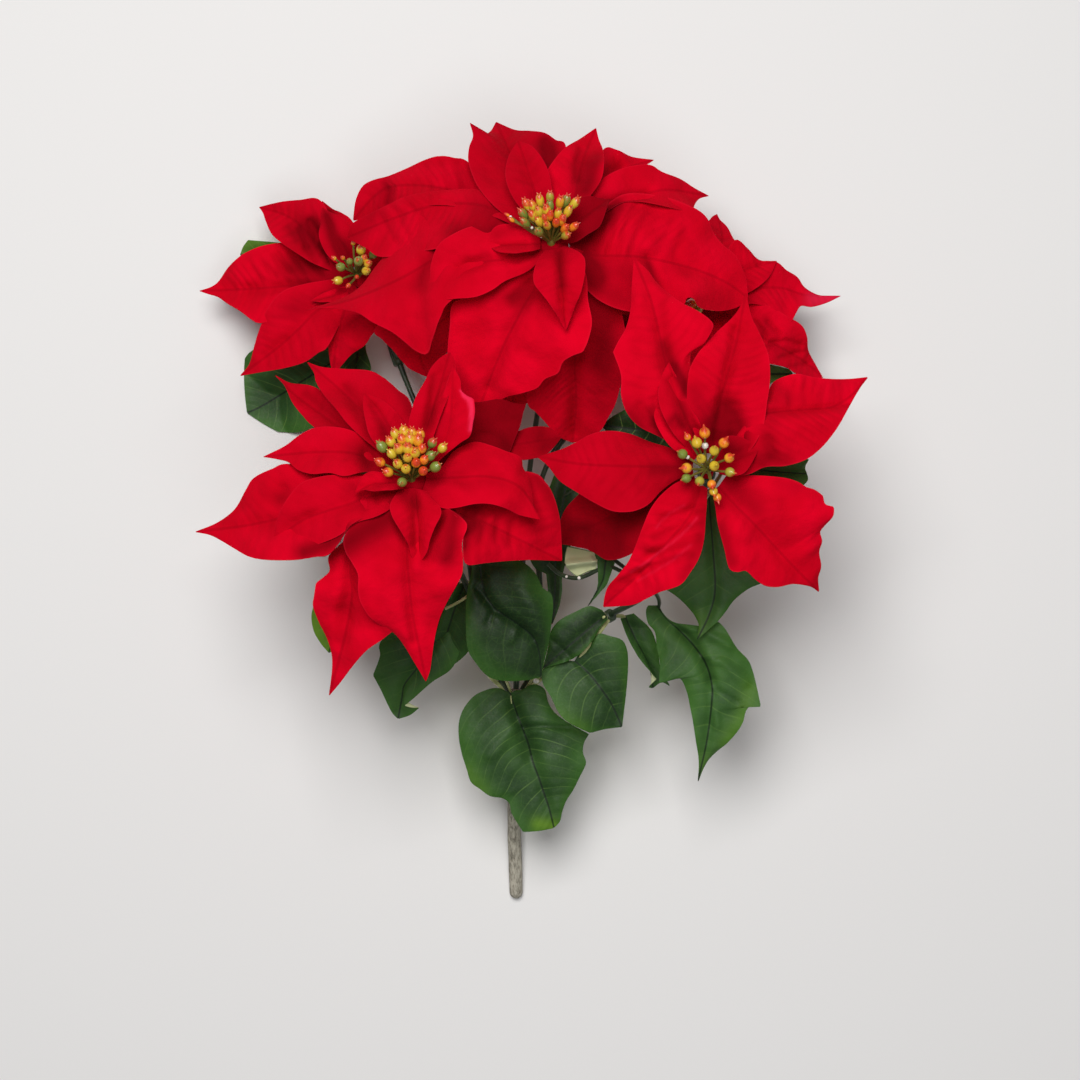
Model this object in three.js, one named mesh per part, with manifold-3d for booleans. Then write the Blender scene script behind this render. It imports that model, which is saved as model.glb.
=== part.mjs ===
import * as THREE from 'three';
import { mergeVertices } from 'three/addons/utils/BufferGeometryUtils.js';
import Module from 'manifold-3d';

// An artificial poinsettia bush of five blooms, lying on its back.
// The stem runs along Y, the blooms face +Z and the bush rests on Z = 0. Lengths are in millimetres.

// Driving dimensions
const FABRIC = 0.8;
const GAP = 0.3;

// Trunk and wires
const TRUNK_RADIUS = 4;
const TRUNK_STEPS = 9;
const CROWN_RADIUS = 8.5;
const SOCKET_REACH = 6.5;
const SOCKET_PLAY = 0.2;
const WIRE_RADIUS = 1.6;
const WIRE_STEPS = 12;
const WIRE_SIDES = 5;
const CUP_RADIUS = 5;
const CUP_LENGTH = 9;
const CUP_SIDES = 6;
const ROUND_SIDES = 8;
const FLOOR_SPAN = 1000;
const FLOOR_DEPTH = 20;

// Hubs and berries
const HUB_RADIUS = 7;
const HUB_HALF_HEIGHT = 6;
const SEAT_DEPTH = 24;
const DOME_RADIUS = 5;
const DOME_SHOULDER = 2;
const DOME_HEIGHT = 5;
const BUNCH_HEIGHT = 22;
const BUNCH_FALL = 0.5;
const BERRY_RADIUS = 3;
const BERRY_POINT = 5.5;
const BERRY_SIDES = 4;
const STALK_RADIUS = 0.7;
const STALK_SPREAD = 0.2;

// Bracts and leaves
const LARGE_ROWS = 6;
const SMALL_ROWS = 5;
const NARROWEST = 0.5;
const BURIED = 4;
const LEAF_START = 0.02;
const TOOTH_REACH = 0.09;
const MARGIN_FALL = 0.15;
const LOBE_FADE = 5;
const SLOPE_STEP = 0.01;
const NEARLY_MARGIN = 0.9;

// Collars and leaf stalks
const COLLAR_RADIUS = 3.6;
const COLLAR_LENGTH = 4;
const COLLAR_PLAY = 0.5;
const COLLAR_SIDES = 7;
const PETIOLE_RADIUS = 1.1;
const PETIOLE_SIDES = 4;
const PETIOLE_STEPS = 2;
const PETIOLE_LANDING = 0.12;
const PETIOLE_ARCH = 0.6;

// Where the moulded trunk ends and where its branches begin
const TRUNK_ROUTE = [[-14, -206, 2.2], [-15, -165, 10], [-15, -128, 26], [-14, -93, 42]];
const CROWN = [-14, -93, 42];

// How round a blade is at its base and how drawn out its point is
const BRACT_SHAPE = { base: 1.1, point: 1.25, lobe: 0 };
const LEAF_SHAPE = { base: 0.45, point: 0.9, lobe: 0.14 };

// The blooms, from the top one to the one at the back right.
// A bract's tip is measured from the hub of its bloom, and a berry's [x, y] from the middle of the bunch.
const BLOOMS = {
  a: {
    hub: [6, 160, 128],
    facing: [0, 0.5, 0.87],
    route: [[-12, -48, 48], [-6, 38, 56], [2, 96, 66], [6, 140, 94]],
    bracts: [
      { tip: [-134, -37, -38], width: 78, bow: 12, fold: -0.1, sweep: -5, large: true },
      { tip: [-114, 5, -50], width: 46, bow: 12, fold: 0.15, large: true, level: -2 },
      { tip: [-111, 33, -62], width: 68, bow: 8, fold: 0.1, sweep: 9, large: true, level: -3 },
      { tip: [-32, 76, -60], width: 56, bow: 8, fold: 0.2, large: true, level: -2, teeth: [[0.82, -1, 11]] },
      { tip: [-18, 59, -22], width: 28, bow: 7, fold: 0.25 },
      { tip: [25, 66, -46], width: 36, bow: 8, fold: 0.25, sweep: -3 },
      { tip: [57, 55, -70], width: 42, bow: 8, fold: 0.1, level: -3 },
      { tip: [86, 29, -45], width: 36, bow: 10, fold: 0.3, sweep: -8, large: true },
      { tip: [110, -32, -44], width: 58, bow: 12, fold: 0.1, sweep: -8, large: true, level: -2 },
      { tip: [52, -62, -64], width: 46, bow: 8, fold: 0.1, level: -3 },
      { tip: [45, -44, -36], width: 24, bow: 6, fold: 0.3 },
      { tip: [14, -108, -50], width: 62, bow: 10, fold: 0.1, large: true, level: -2 },
      { tip: [-8, -112, -58], width: 46, bow: 8, fold: 0.1, level: -3 },
      { tip: [-72, -64, -62], width: 44, bow: 8, fold: 0.1, level: -3 },
      { tip: [-40, -92, -20], width: 70, bow: 12, fold: 0.12, large: true },
      { tip: [-69, -34, 0], width: 40, bow: 14, fold: -0.2, sweep: 4, large: true, level: 2 },
      { tip: [8, -49, 10], width: 27, bow: 5, fold: 0.5, level: 2 },
      { tip: [-36, -2, 0], width: 27, bow: 3, fold: 0.2, level: 1 },
      { tip: [32, 24, -6], width: 24, bow: 2, fold: 0.2, level: 1 },
    ],
    bunch: [-1, 11],
    berries: [
      [-8, 10], [-2, 11], [-10, 6], [-8, 3], [-14, 6], [-16, 0], [-14, -4], [-7, -3], [-1, 0],
      [5, 8], [8, 4], [4, 2], [12, 8], [2, -4], [12, -5], [7, -6], [7, -10], [-6, -9], [-22, -1],
      [-2, 6],
    ],
  },
  b: {
    hub: [-103, 150, 55],
    facing: [-0.25, 0.35, 0.9],
    route: [[-31, -64, 34], [-48, 25, 36], [-73, 82, 38], [-92, 130, 36]],
    bracts: [
      { tip: [-92, -9, -32], width: 46, bow: 9, fold: 0.15, large: true },
      { tip: [-58, 39, -26], width: 34, bow: 7, fold: 0.15, large: true },
      { tip: [-18, 42, -24], width: 28, bow: 6, fold: 0.1, level: -2 },
      { tip: [-66, -57, -26], width: 38, bow: 7, fold: 0.15, large: true },
      { tip: [-14, -57, -14], width: 34, bow: 6, fold: 0.1, sweep: -4 },
      { tip: [-28, -14, 6], width: 18, bow: 4, fold: 0.3, level: 2 },
      { tip: [-20, 38, -8], width: 20, bow: 5, fold: 0.2, level: 2 },
      { tip: [38, -14, -28], width: 28, bow: 6, fold: 0.1 },
      { tip: [30, 34, -34], width: 28, bow: 6, fold: 0.1, level: -2 },
    ],
    bunch: [0, 6],
    berries: [
      [-9, 1], [-11, -6], [2, 11], [8, 9], [1, 3], [6, 0], [3, -3], [-10, 6],
    ],
  },
  c: {
    hub: [-68, 32, 155],
    facing: [0, 0.5, 0.87],
    route: [[-28, -68, 66], [-42, -22, 94], [-62, 6, 116], [-68, 16, 127]],
    bracts: [
      { tip: [-44, -116, -22], width: 52, bow: 12, fold: 0.1, large: true, teeth: [[0.5, 1, 6]] },
      { tip: [8, -106, -8], width: 52, bow: 12, fold: 0.1, large: true },
      { tip: [-117, -29, -34], width: 58, bow: 12, fold: 0.15, sweep: -5, large: true, level: -2 },
      { tip: [-74, -36, -8], width: 36, bow: 10, fold: 0.2, large: true },
      { tip: [-80, 13, -22], width: 34, bow: 8, fold: 0.1, sweep: 3 },
      { tip: [-77, 59, -52], width: 30, bow: 6, fold: 0.1, level: -3 },
      { tip: [-59, 64, -38], width: 38, bow: 6, fold: 0.1, sweep: 5, level: -2 },
      { tip: [-27, 48, -10], width: 28, bow: 5, fold: 0.2 },
      { tip: [22, 68, -14], width: 34, bow: 6, fold: 0.2 },
      { tip: [26, 47, 0], width: 22, bow: 2, fold: 0.3, level: 1 },
      { tip: [69, -22, 0], width: 44, bow: 10, fold: -0.15, sweep: -6, large: true },
      { tip: [81, -44, -28], width: 56, bow: 10, fold: 0.1, sweep: 4, large: true, level: -2 },
      { tip: [4, -41, 10], width: 28, bow: 5, fold: 0.6, level: 2 },
      { tip: [-31, -7, 6], width: 20, bow: 2, fold: 0.3, level: 1 },
      { tip: [60, 42, -36], width: 46, bow: 6, fold: 0.1, level: -2 },
      { tip: [80, 19, -40], width: 44, bow: 7, fold: 0.1, sweep: -4, level: -3 },
    ],
    bunch: [0, 13],
    berries: [
      [-4, 12], [0, 12], [4, 11], [7, 9], [-10, 9], [-9, 6], [-6, 6], [-1, 6], [2, 9], [5, 3],
      [-8, 1], [-15, 4], [-16, -3], [-13, -9], [-7, -6], [-3, -8], [-5, -14], [-2, -1], [3, -5],
      [7, -9], [6, -3], [12, -7], [16, 4], [10, -1], [12, 9],
    ],
  },
  d: {
    hub: [88, 37, 165],
    facing: [0, 0.3, 0.95],
    route: [[10, -66, 58], [37, -43, 80], [60, -28, 104], [88, 26, 132]],
    bracts: [
      { tip: [-87, 6, -24], width: 48, bow: 10, fold: -0.15, large: true },
      { tip: [-55, -72, -6], width: 42, bow: 12, fold: 0.2, sweep: -7, large: true },
      { tip: [58, -64, -14], width: 58, bow: 14, fold: 0.1, sweep: -6, large: true, teeth: [[0.66, -1, 5]] },
      { tip: [87, 50, -28], width: 48, bow: 12, fold: 0.1, large: true },
      { tip: [28, 12, 2], width: 22, bow: 2, fold: 0.4, level: 2 },
      { tip: [22, 95, -24], width: 44, bow: 12, fold: 0.2, large: true },
      { tip: [-39, 113, -20], width: 56, bow: 12, fold: 0.1, sweep: -4, large: true, level: -2 },
      { tip: [-24, 57, 0], width: 30, bow: 6, fold: 0.2 },
      { tip: [-28, 33, 2], width: 18, bow: 2, fold: 0.3, level: 2 },
      { tip: [-76, -36, -58], width: 42, bow: 8, fold: 0.1, level: -3 },
    ],
    bunch: [0, 6],
    berries: [
      [-2, 16], [-5, 11], [-12, 13], [8, 10], [-14, 5], [3, 6], [-4, 2], [11, 2], [3, -2],
      [-12, -3], [-12, -8], [-4, -9], [12, -6], [3, -15], [6, -18],
    ],
  },
  e: {
    hub: [97, 131, 60],
    facing: [0.2, 0.3, 0.93],
    route: [[0, -66, 32], [2, 38, 40], [40, 84, 36], [90, 122, 36]],
    bracts: [
      { tip: [73, 8, -16], width: 36, bow: 8, fold: 0.2, large: true },
      { tip: [64, -38, -24], width: 36, bow: 8, fold: 0.15, large: true },
      { tip: [4, 55, -24], width: 32, bow: 6, fold: 0.1, level: -2 },
      { tip: [34, 32, -10], width: 30, bow: 6, fold: 0.2 },
      { tip: [-40, -10, -30], width: 26, bow: 6, fold: 0.1, level: -2 },
      { tip: [-8, -50, -28], width: 30, bow: 6, fold: 0.1 },
      { tip: [-30, 38, -30], width: 28, bow: 6, fold: 0.1, level: -2 },
    ],
    bunch: [-3, 3],
    berries: [
      [-8, 0], [-3, 5], [4, 4], [2, -3], [-3, -5],
    ],
  },
};

// The leaf sets: which link of which stem holds the collar, and where each leaf begins.
// A leaf's tip is measured from its base.
const LEAF_SETS = [
  { name: 'leaves_1', on: 'trunk', link: 7, leaves: [
    { base: [-18, -86, 56], tip: [25, -79, -6], width: 70, bow: 6, fold: 0.1, large: true },
    { base: [-18, -104, 16], tip: [14, -52, -10], width: 38, bow: 5, fold: 0.1 },
  ] },
  { name: 'leaves_2', on: 'c', link: 4, leaves: [
    { base: [-36, -26, 108], tip: [38, -46, -14], width: 58, bow: 8, fold: 0.1, large: true },
    { base: [-42, -36, 88], tip: [-22, -50, -30], width: 40, bow: 6, fold: 0.1 },
    { base: [-48, -38, 78], tip: [-32, -60, -14], width: 48, bow: 6, fold: 0.1, sweep: 8, large: true },
  ] },
  { name: 'leaves_3', on: 'c', link: 8, leaves: [
    { base: [-88, 2, 100], tip: [-28, -62, -20], width: 42, bow: 6, fold: 0.1, sweep: 7 },
    { base: [-80, 18, 90], tip: [-60, 10, -40], width: 40, bow: 6, fold: 0.1 },
  ] },
  { name: 'leaves_4', on: 'd', link: 4, leaves: [
    { base: [22, -68, 84], tip: [24, -37, -4], width: 44, bow: 4, fold: 0.1, large: true },
    { base: [34, -44, 90], tip: [-30, -30, -6], width: 32, bow: 4, fold: 0.1 },
    { base: [46, -42, 68], tip: [18, -42, -12], width: 26, bow: 4, fold: 0.1 },
  ] },
  { name: 'leaves_5', on: 'd', link: 6, leaves: [
    { base: [62, -34, 82], tip: [26, -98, -10], width: 46, bow: 10, sweep: -15, fold: 0.1, large: true,
      teeth: [[0.4, 1, 9], [0.58, -1, 6]] },
    { base: [32, -14, 92], tip: [-20, 2, -6], width: 18, bow: 2, fold: 0.1, under: true },
    { base: [44, -10, 96], tip: [-12, -26, -8], width: 18, bow: 2, fold: 0.1 },
  ] },
  { name: 'leaves_6', on: 'd', link: 9, leaves: [
    { base: [92, 10, 98], tip: [-8, -62, -4], width: 38, bow: 6, fold: 0.1, large: true,
      teeth: [[0.45, 1, 9], [0.55, -1, 13]] },
    { base: [100, 44, 118], tip: [42, -12, -14], width: 24, bow: 4, fold: 0.1 },
  ] },
  { name: 'leaves_7', on: 'a', link: 4, leaves: [
    { base: [18, 52, 60], tip: [-8, -42, 4], width: 26, bow: 3, fold: 0.1 },
    { base: [70, 60, 78], tip: [-36, 4, 0], width: 26, bow: 3, fold: 0.1 },
  ] },
  { name: 'leaves_8', on: 'a', link: 7, leaves: [
    { base: [-10, 106, 40], tip: [-44, 44, -50], width: 44, bow: 6, fold: 0.1 },
    { base: [14, 114, 40], tip: [24, 66, -50], width: 44, bow: 6, fold: 0.1 },
  ] },
  { name: 'leaves_9', on: 'b', link: 9, leaves: [
    { base: [-104, 112, 22], tip: [-64, -48, -34], width: 60, bow: 6, fold: 0.1, large: true },
    { base: [-94, 110, 26], tip: [-2, -32, -4], width: 26, bow: 3, fold: 0.1 },
    { base: [-122, 162, 14], tip: [-50, 9, -8], width: 24, bow: 3, fold: 0.1 },
  ] },
  { name: 'leaves_10', on: 'e', link: 9, leaves: [
    { base: [104, 92, 40], tip: [38, -2, -8], width: 26, bow: 3, fold: 0.1 },
    { base: [104, 120, 20], tip: [56, 30, -30], width: 40, bow: 5, fold: 0.1 },
    { base: [86, 96, 26], tip: [-10, -56, -14], width: 36, bow: 5, fold: 0.1 },
  ] },
];

const RED = { color: 0xc00020, roughness: 0.85, metalness: 0 };
const GREEN = { color: 0x285a26, roughness: 0.6, metalness: 0 };
const STEM_GREEN = { color: 0x1f3a1a, roughness: 0.5, metalness: 0 };
const BERRY_YELLOW = { color: 0xc8a820, roughness: 0.4, metalness: 0 };
const BARK = { color: 0x6e695f, roughness: 0.75, metalness: 0 };

const wasm = await Module();
wasm.setup();

const vector = (list) => new THREE.Vector3(...list);

// A closed solid from corner points and triangles
function solid(points, faces) {
  return new wasm.Manifold(new wasm.Mesh({
    numProp: 3,
    vertProperties: new Float32Array(points.flatMap((point) => point.toArray())),
    triVerts: new Uint32Array(faces.flat()),
  }));
}

function fromGeometry(geometry) {
  geometry.deleteAttribute('normal');
  geometry.deleteAttribute('uv');
  const merged = mergeVertices(geometry, 1e-4);
  return new wasm.Manifold(new wasm.Mesh({
    numProp: 3,
    vertProperties: new Float32Array(merged.attributes.position.array),
    triVerts: new Uint32Array(merged.index.array),
  }));
}

function toMesh(name, body, look) {
  const { vertProperties, triVerts } = body.getMesh();
  const indexed = new THREE.BufferGeometry();
  indexed.setAttribute('position', new THREE.BufferAttribute(new Float32Array(vertProperties), 3));
  indexed.setIndex(Array.from(triVerts));
  const geometry = indexed.toNonIndexed();
  geometry.computeVertexNormals();
  const mesh = new THREE.Mesh(geometry, new THREE.MeshStandardMaterial(look));
  mesh.name = name;
  return mesh;
}

// The half width along a blade, 1 where the blade is widest
function breadth(along, shape) {
  const widest = shape.base / (shape.base + shape.point);
  return (along / widest) ** shape.base * ((1 - along) / (1 - widest)) ** shape.point;
}

// A frame that follows a blade: along its midrib, across it, and out of its upper face
function bladeFrame(tip, facing) {
  const along = tip.clone().normalize();
  const across = new THREE.Vector3().crossVectors(along, facing).normalize();
  const out = new THREE.Vector3().crossVectors(across, along);
  return { across, out };
}

// A point of a blade's middle layer, at a share of its length and of its half width
function bladePoint(blade, frame, along, side) {
  const shape = blade.shape;
  let half = Math.max(blade.width / 2 * breadth(along, shape), NARROWEST);
  for (const [at, margin, size] of blade.teeth ?? []) {
    if (Math.sign(side) === margin) {
      half += size * Math.max(0, 1 - Math.abs(along - at) / TOOTH_REACH);
    }
  }
  const back = shape.lobe * side * side * (1 - along) ** LOBE_FADE;
  const arch = Math.sin(Math.PI * along);
  const fold = half * (blade.fold ?? 0) * Math.abs(side);
  const lift = (blade.bow ?? 0) * arch + fold - half * MARGIN_FALL * side * side;
  return vector(blade.base)
    .addScaledVector(vector(blade.tip), along - back)
    .addScaledVector(frame.across, half * side + (blade.sweep ?? 0) * arch)
    .addScaledVector(frame.out, lift);
}

function bladeRows(blade) {
  const count = blade.large ? LARGE_ROWS : SMALL_ROWS;
  const start = blade.shape.lobe > 0 ? LEAF_START : BURIED / vector(blade.tip).length();
  const rows = Array.from({ length: count }, (_, step) => (
    THREE.MathUtils.lerp(start, 1, step / (count - 1))
  ));
  for (const [at] of blade.teeth ?? []) {
    rows.push(at - TOOTH_REACH, at, at + TOOTH_REACH);
  }
  return rows.sort((one, other) => one - other);
}

// The direction straight out of a blade's upper face
function bladeNormal(blade, frame, along, side) {
  const inner = side === 0 ? SLOPE_STEP : side * NEARLY_MARGIN;
  const outer = side === 0 ? -SLOPE_STEP : side;
  const back = bladePoint(blade, frame, Math.max(along - SLOPE_STEP, SLOPE_STEP), side);
  const forward = bladePoint(blade, frame, Math.min(along + SLOPE_STEP, 1), side).sub(back);
  const sideways = bladePoint(blade, frame, along, outer).sub(bladePoint(blade, frame, along, inner));
  const normal = new THREE.Vector3().crossVectors(forward, sideways).normalize();
  return normal.dot(frame.out) < 0 ? normal.negate() : normal;
}

// A bract or leaf: a closed sheet with the same triangles on both faces
function bladeSolid(blade) {
  const frame = bladeFrame(vector(blade.tip), vector(blade.facing));
  const rows = bladeRows(blade);
  const sides = [-1, 0, 1];
  const points = [];
  for (const layer of [1, -1]) {
    for (const along of rows) {
      for (const side of sides) {
        const middle = bladePoint(blade, frame, along, side);
        const normal = bladeNormal(blade, frame, along, side);
        if (blade.rests && middle.z < FABRIC / 2) {
          middle.z = FABRIC / 2;
          normal.set(0, 0, Math.sign(normal.z));
        }
        points.push(middle.addScaledVector(normal, layer * FABRIC / 2));
      }
    }
  }
  const wide = sides.length;
  const under = rows.length * wide;
  const faces = [];
  const rim = [];
  for (let row = 0; row < rows.length - 1; row += 1) {
    for (let column = 0; column < wide - 1; column += 1) {
      const corner = row * wide + column;
      const quad = [corner, corner + 1, corner + wide + 1, corner + wide];
      const halves = sides[column] < 0 ? [[0, 1, 2], [0, 2, 3]] : [[0, 1, 3], [1, 2, 3]];
      for (const [first, second, third] of halves) {
        faces.push([quad[first], quad[second], quad[third]]);
        faces.push([quad[first] + under, quad[third] + under, quad[second] + under]);
      }
    }
  }
  for (let column = 0; column < wide; column += 1) {
    rim.push(column);
  }
  for (let row = 1; row < rows.length; row += 1) {
    rim.push(row * wide + wide - 1);
  }
  for (let column = wide - 2; column >= 0; column -= 1) {
    rim.push((rows.length - 1) * wide + column);
  }
  for (let row = rows.length - 2; row > 0; row -= 1) {
    rim.push(row * wide);
  }
  rim.forEach((here, place) => {
    const next = rim[(place + 1) % rim.length];
    faces.push([here, here + under, next + under], [here, next + under, next]);
  });
  return solid(points, faces);
}

// A round wire along a smooth curve
function wire(curve, radius, sides, steps) {
  const section = new THREE.Shape(Array.from({ length: sides }, (_, side) => {
    const turn = 2 * Math.PI * side / sides;
    return new THREE.Vector2(radius * Math.cos(turn), radius * Math.sin(turn));
  }));
  return fromGeometry(new THREE.ExtrudeGeometry(section, { steps, bevelEnabled: false, extrudePath: curve }));
}

const smoothCurve = (route) => new THREE.CatmullRomCurve3(route.map(vector));

// A turned solid whose axis points along a direction
function turned(profile, sides, place, direction) {
  const outline = profile.map(([radius, height]) => new THREE.Vector2(radius, height));
  const geometry = new THREE.LatheGeometry(outline, sides);
  const up = new THREE.Vector3(0, 1, 0);
  const turn = new THREE.Quaternion().setFromUnitVectors(up, direction.clone().normalize());
  geometry.applyQuaternion(turn);
  geometry.translate(...place.toArray());
  return fromGeometry(geometry);
}

function cylinder(radius, from, to, sides, place, direction) {
  return turned([[0, from], [radius, from], [radius, to], [0, to]], sides, place, direction);
}

// A point of the crown towards a wire, at a depth measured from the middle of the crown
const inCrown = (bloom, reach) => vector(bloom.route[0])
  .sub(vector(CROWN))
  .setLength(reach)
  .add(vector(CROWN));

// The curve of a wire, from its socket in the crown to the cup under its bloom
function branchCurve(bloom) {
  const axis = vector(bloom.facing).normalize();
  const end = vector(bloom.hub).addScaledVector(axis, -HUB_HALF_HEIGHT - GAP - 1);
  const start = inCrown(bloom, SOCKET_REACH);
  return smoothCurve([start.toArray(), ...bloom.route, end.toArray()]);
}

function branch(bloom) {
  const axis = vector(bloom.facing).normalize();
  const seat = vector(bloom.hub).addScaledVector(axis, -HUB_HALF_HEIGHT - GAP);
  const profile = [[0, -CUP_LENGTH], [WIRE_RADIUS, -CUP_LENGTH], [CUP_RADIUS, -1], [CUP_RADIUS, 0], [0, 0]];
  const cup = turned(profile, CUP_SIDES, seat, axis);
  return wire(branchCurve(bloom), WIRE_RADIUS, WIRE_SIDES, WIRE_STEPS).add(cup);
}

// The moulded trunk: a rod with a rounded foot, and a crown with a socket for each wire
function trunk() {
  const curve = smoothCurve(TRUNK_ROUTE);
  const ball = (radius, place) => fromGeometry(
    new THREE.SphereGeometry(radius, ROUND_SIDES, ROUND_SIDES / 2).translate(...place),
  );
  const crown = ball(CROWN_RADIUS, CROWN);
  const foot = ball(TRUNK_RADIUS, TRUNK_ROUTE[0]);
  const sockets = Object.values(BLOOMS).map((bloom) => {
    const line = new THREE.LineCurve3(inCrown(bloom, SOCKET_REACH - GAP), vector(bloom.route[0]));
    return wire(line, WIRE_RADIUS + GAP + SOCKET_PLAY, WIRE_SIDES, 1);
  });
  const slab = new THREE.BoxGeometry(FLOOR_SPAN, FLOOR_SPAN, FLOOR_DEPTH);
  const underFloor = fromGeometry(slab.translate(0, 0, -FLOOR_DEPTH / 2));
  return wire(curve, TRUNK_RADIUS, ROUND_SIDES, TRUNK_STEPS)
    .add(crown)
    .add(foot)
    .subtract(wasm.Manifold.union(sockets))
    .subtract(underFloor);
}

// The bracts of one bloom on their hub, with a seat for the berries above and one for the cup below
function bloomBody(bloom) {
  const axis = vector(bloom.facing).normalize();
  const middle = new THREE.Vector3();
  const pieces = bloom.bracts.map((bract) => bladeSolid({
    ...bract,
    base: axis.clone().multiplyScalar(bract.level ?? 0).toArray(),
    facing: bloom.facing,
    shape: BRACT_SHAPE,
  }));
  const round = (radius, from, to) => cylinder(radius, from, to, ROUND_SIDES, middle, axis);
  pieces.push(round(HUB_RADIUS, -HUB_HALF_HEIGHT, HUB_HALF_HEIGHT));
  return wasm.Manifold.union(pieces)
    .subtract(round(DOME_RADIUS + 2 * GAP, HUB_HALF_HEIGHT, HUB_HALF_HEIGHT + SEAT_DEPTH))
    .subtract(round(CUP_RADIUS + 2 * GAP, -HUB_HALF_HEIGHT - SEAT_DEPTH, -HUB_HALF_HEIGHT));
}

// The bunch of berries: a small dome with a stalked berry for each place
function bunch(bloom) {
  const axis = vector(bloom.facing).normalize();
  const foot = axis.clone().multiplyScalar(HUB_HALF_HEIGHT + GAP);
  const dome = [[0, 0], [DOME_RADIUS, 0], [DOME_RADIUS, DOME_SHOULDER], [2, DOME_HEIGHT], [0, DOME_HEIGHT]];
  const pieces = [turned(dome, ROUND_SIDES, foot, axis)];
  for (const [x, y] of bloom.berries) {
    const height = BUNCH_HEIGHT - Math.hypot(x, y) * BUNCH_FALL;
    const head = new THREE.Vector3(bloom.bunch[0] + x, bloom.bunch[1] + y, height);
    const root = foot.clone()
      .addScaledVector(axis, DOME_SHOULDER)
      .add(new THREE.Vector3(x * STALK_SPREAD, y * STALK_SPREAD, 0));
    const direction = head.clone().sub(root);
    const reach = direction.length();
    const neck = reach - BERRY_RADIUS;
    const stalk = [[0, 0], [STALK_RADIUS, 0], [STALK_RADIUS, neck]];
    const berry = [[BERRY_RADIUS, reach], [0, reach + BERRY_POINT]];
    pieces.push(turned([...stalk, ...berry], BERRY_SIDES, root, direction));
  }
  return wasm.Manifold.union(pieces);
}

// A collar round a straight link of the stem, with its leaves on their stalks
function leafSet(set) {
  const onTrunk = set.on === 'trunk';
  const curve = onTrunk ? smoothCurve(TRUNK_ROUTE) : branchCurve(BLOOMS[set.on]);
  const steps = onTrunk ? TRUNK_STEPS : WIRE_STEPS;
  const core = onTrunk ? TRUNK_RADIUS : WIRE_RADIUS;
  const from = curve.getPointAt(set.link / steps);
  const to = curve.getPointAt((set.link + 1) / steps);
  const place = from.clone().lerp(to, 0.5);
  const direction = to.clone().sub(from).normalize();
  const half = COLLAR_LENGTH / 2;
  const wall = core - WIRE_RADIUS + COLLAR_RADIUS;
  const pieces = [cylinder(wall, -half, half, COLLAR_SIDES, place, direction)];
  for (const leaf of set.leaves) {
    const blade = { ...leaf, facing: leaf.under ? [0, 0, -1] : [0, 0, 1], shape: LEAF_SHAPE, rests: true };
    const frame = bladeFrame(vector(leaf.tip), vector(blade.facing));
    const landing = bladePoint(blade, frame, PETIOLE_LANDING, 0);
    const aim = landing.clone().sub(place);
    const out = aim.clone().addScaledVector(direction, -aim.dot(direction)).setLength(core + COLLAR_PLAY + 1);
    const start = place.clone().add(out);
    const middle = start.clone().lerp(landing, 0.5).addScaledVector(out, PETIOLE_ARCH);
    const path = new THREE.CatmullRomCurve3([start, middle, landing]);
    pieces.push(bladeSolid(blade), wire(path, PETIOLE_RADIUS, PETIOLE_SIDES, PETIOLE_STEPS));
  }
  const bore = cylinder(core + COLLAR_PLAY, -COLLAR_LENGTH, COLLAR_LENGTH, ROUND_SIDES, place, direction);
  return wasm.Manifold.union(pieces).subtract(bore);
}

const bush = new THREE.Group();
bush.name = 'poinsettia_bush';
bush.add(toMesh('trunk', trunk(), BARK));
for (const [letter, bloom] of Object.entries(BLOOMS)) {
  const spray = new THREE.Group();
  spray.name = `spray_${letter}`;
  spray.add(toMesh(`branch_${letter}`, branch(bloom), STEM_GREEN));
  const head = new THREE.Group();
  head.position.set(...bloom.hub);
  head.add(toMesh(`bloom_${letter}`, bloomBody(bloom), RED));
  head.add(toMesh(`berries_${letter}`, bunch(bloom), BERRY_YELLOW));
  spray.add(head);
  bush.add(spray);
}
for (const set of LEAF_SETS) {
  bush.add(toMesh(set.name, leafSet(set), GREEN));
}

// The part's origin lies under the middle of its box
bush.updateMatrixWorld(true);
const middle = new THREE.Box3().setFromObject(bush, true).getCenter(new THREE.Vector3());
bush.position.set(-middle.x, -middle.y, 0);

export default bush;
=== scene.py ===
# %% [markdown]
# # An artificial poinsettia bush, lying on its back
#
# Layered blooms of red velvet-like fabric sit on sleeved wires that meet in a moulded stem. Each bloom
# has a bunch of glossy berries, and satin leaves grow in sets from collars on the wires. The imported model
# gives every piece its place, and this lesson makes the finer piece that is shown there.

import math

import bpy
import numpy as np
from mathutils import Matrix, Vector, noise


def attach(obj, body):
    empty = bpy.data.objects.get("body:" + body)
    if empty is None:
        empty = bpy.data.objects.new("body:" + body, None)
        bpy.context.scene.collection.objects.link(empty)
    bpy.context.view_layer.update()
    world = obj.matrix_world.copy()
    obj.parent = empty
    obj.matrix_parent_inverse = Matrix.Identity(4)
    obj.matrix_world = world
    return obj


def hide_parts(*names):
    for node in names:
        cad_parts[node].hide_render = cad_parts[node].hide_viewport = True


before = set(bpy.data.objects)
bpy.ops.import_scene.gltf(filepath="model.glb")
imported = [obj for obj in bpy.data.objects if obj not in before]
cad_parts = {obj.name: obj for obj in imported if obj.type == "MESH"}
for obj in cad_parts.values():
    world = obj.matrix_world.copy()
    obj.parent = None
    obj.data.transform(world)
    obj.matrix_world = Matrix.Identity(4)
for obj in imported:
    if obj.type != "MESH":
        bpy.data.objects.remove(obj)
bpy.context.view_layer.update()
scene = bpy.context.scene

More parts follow.
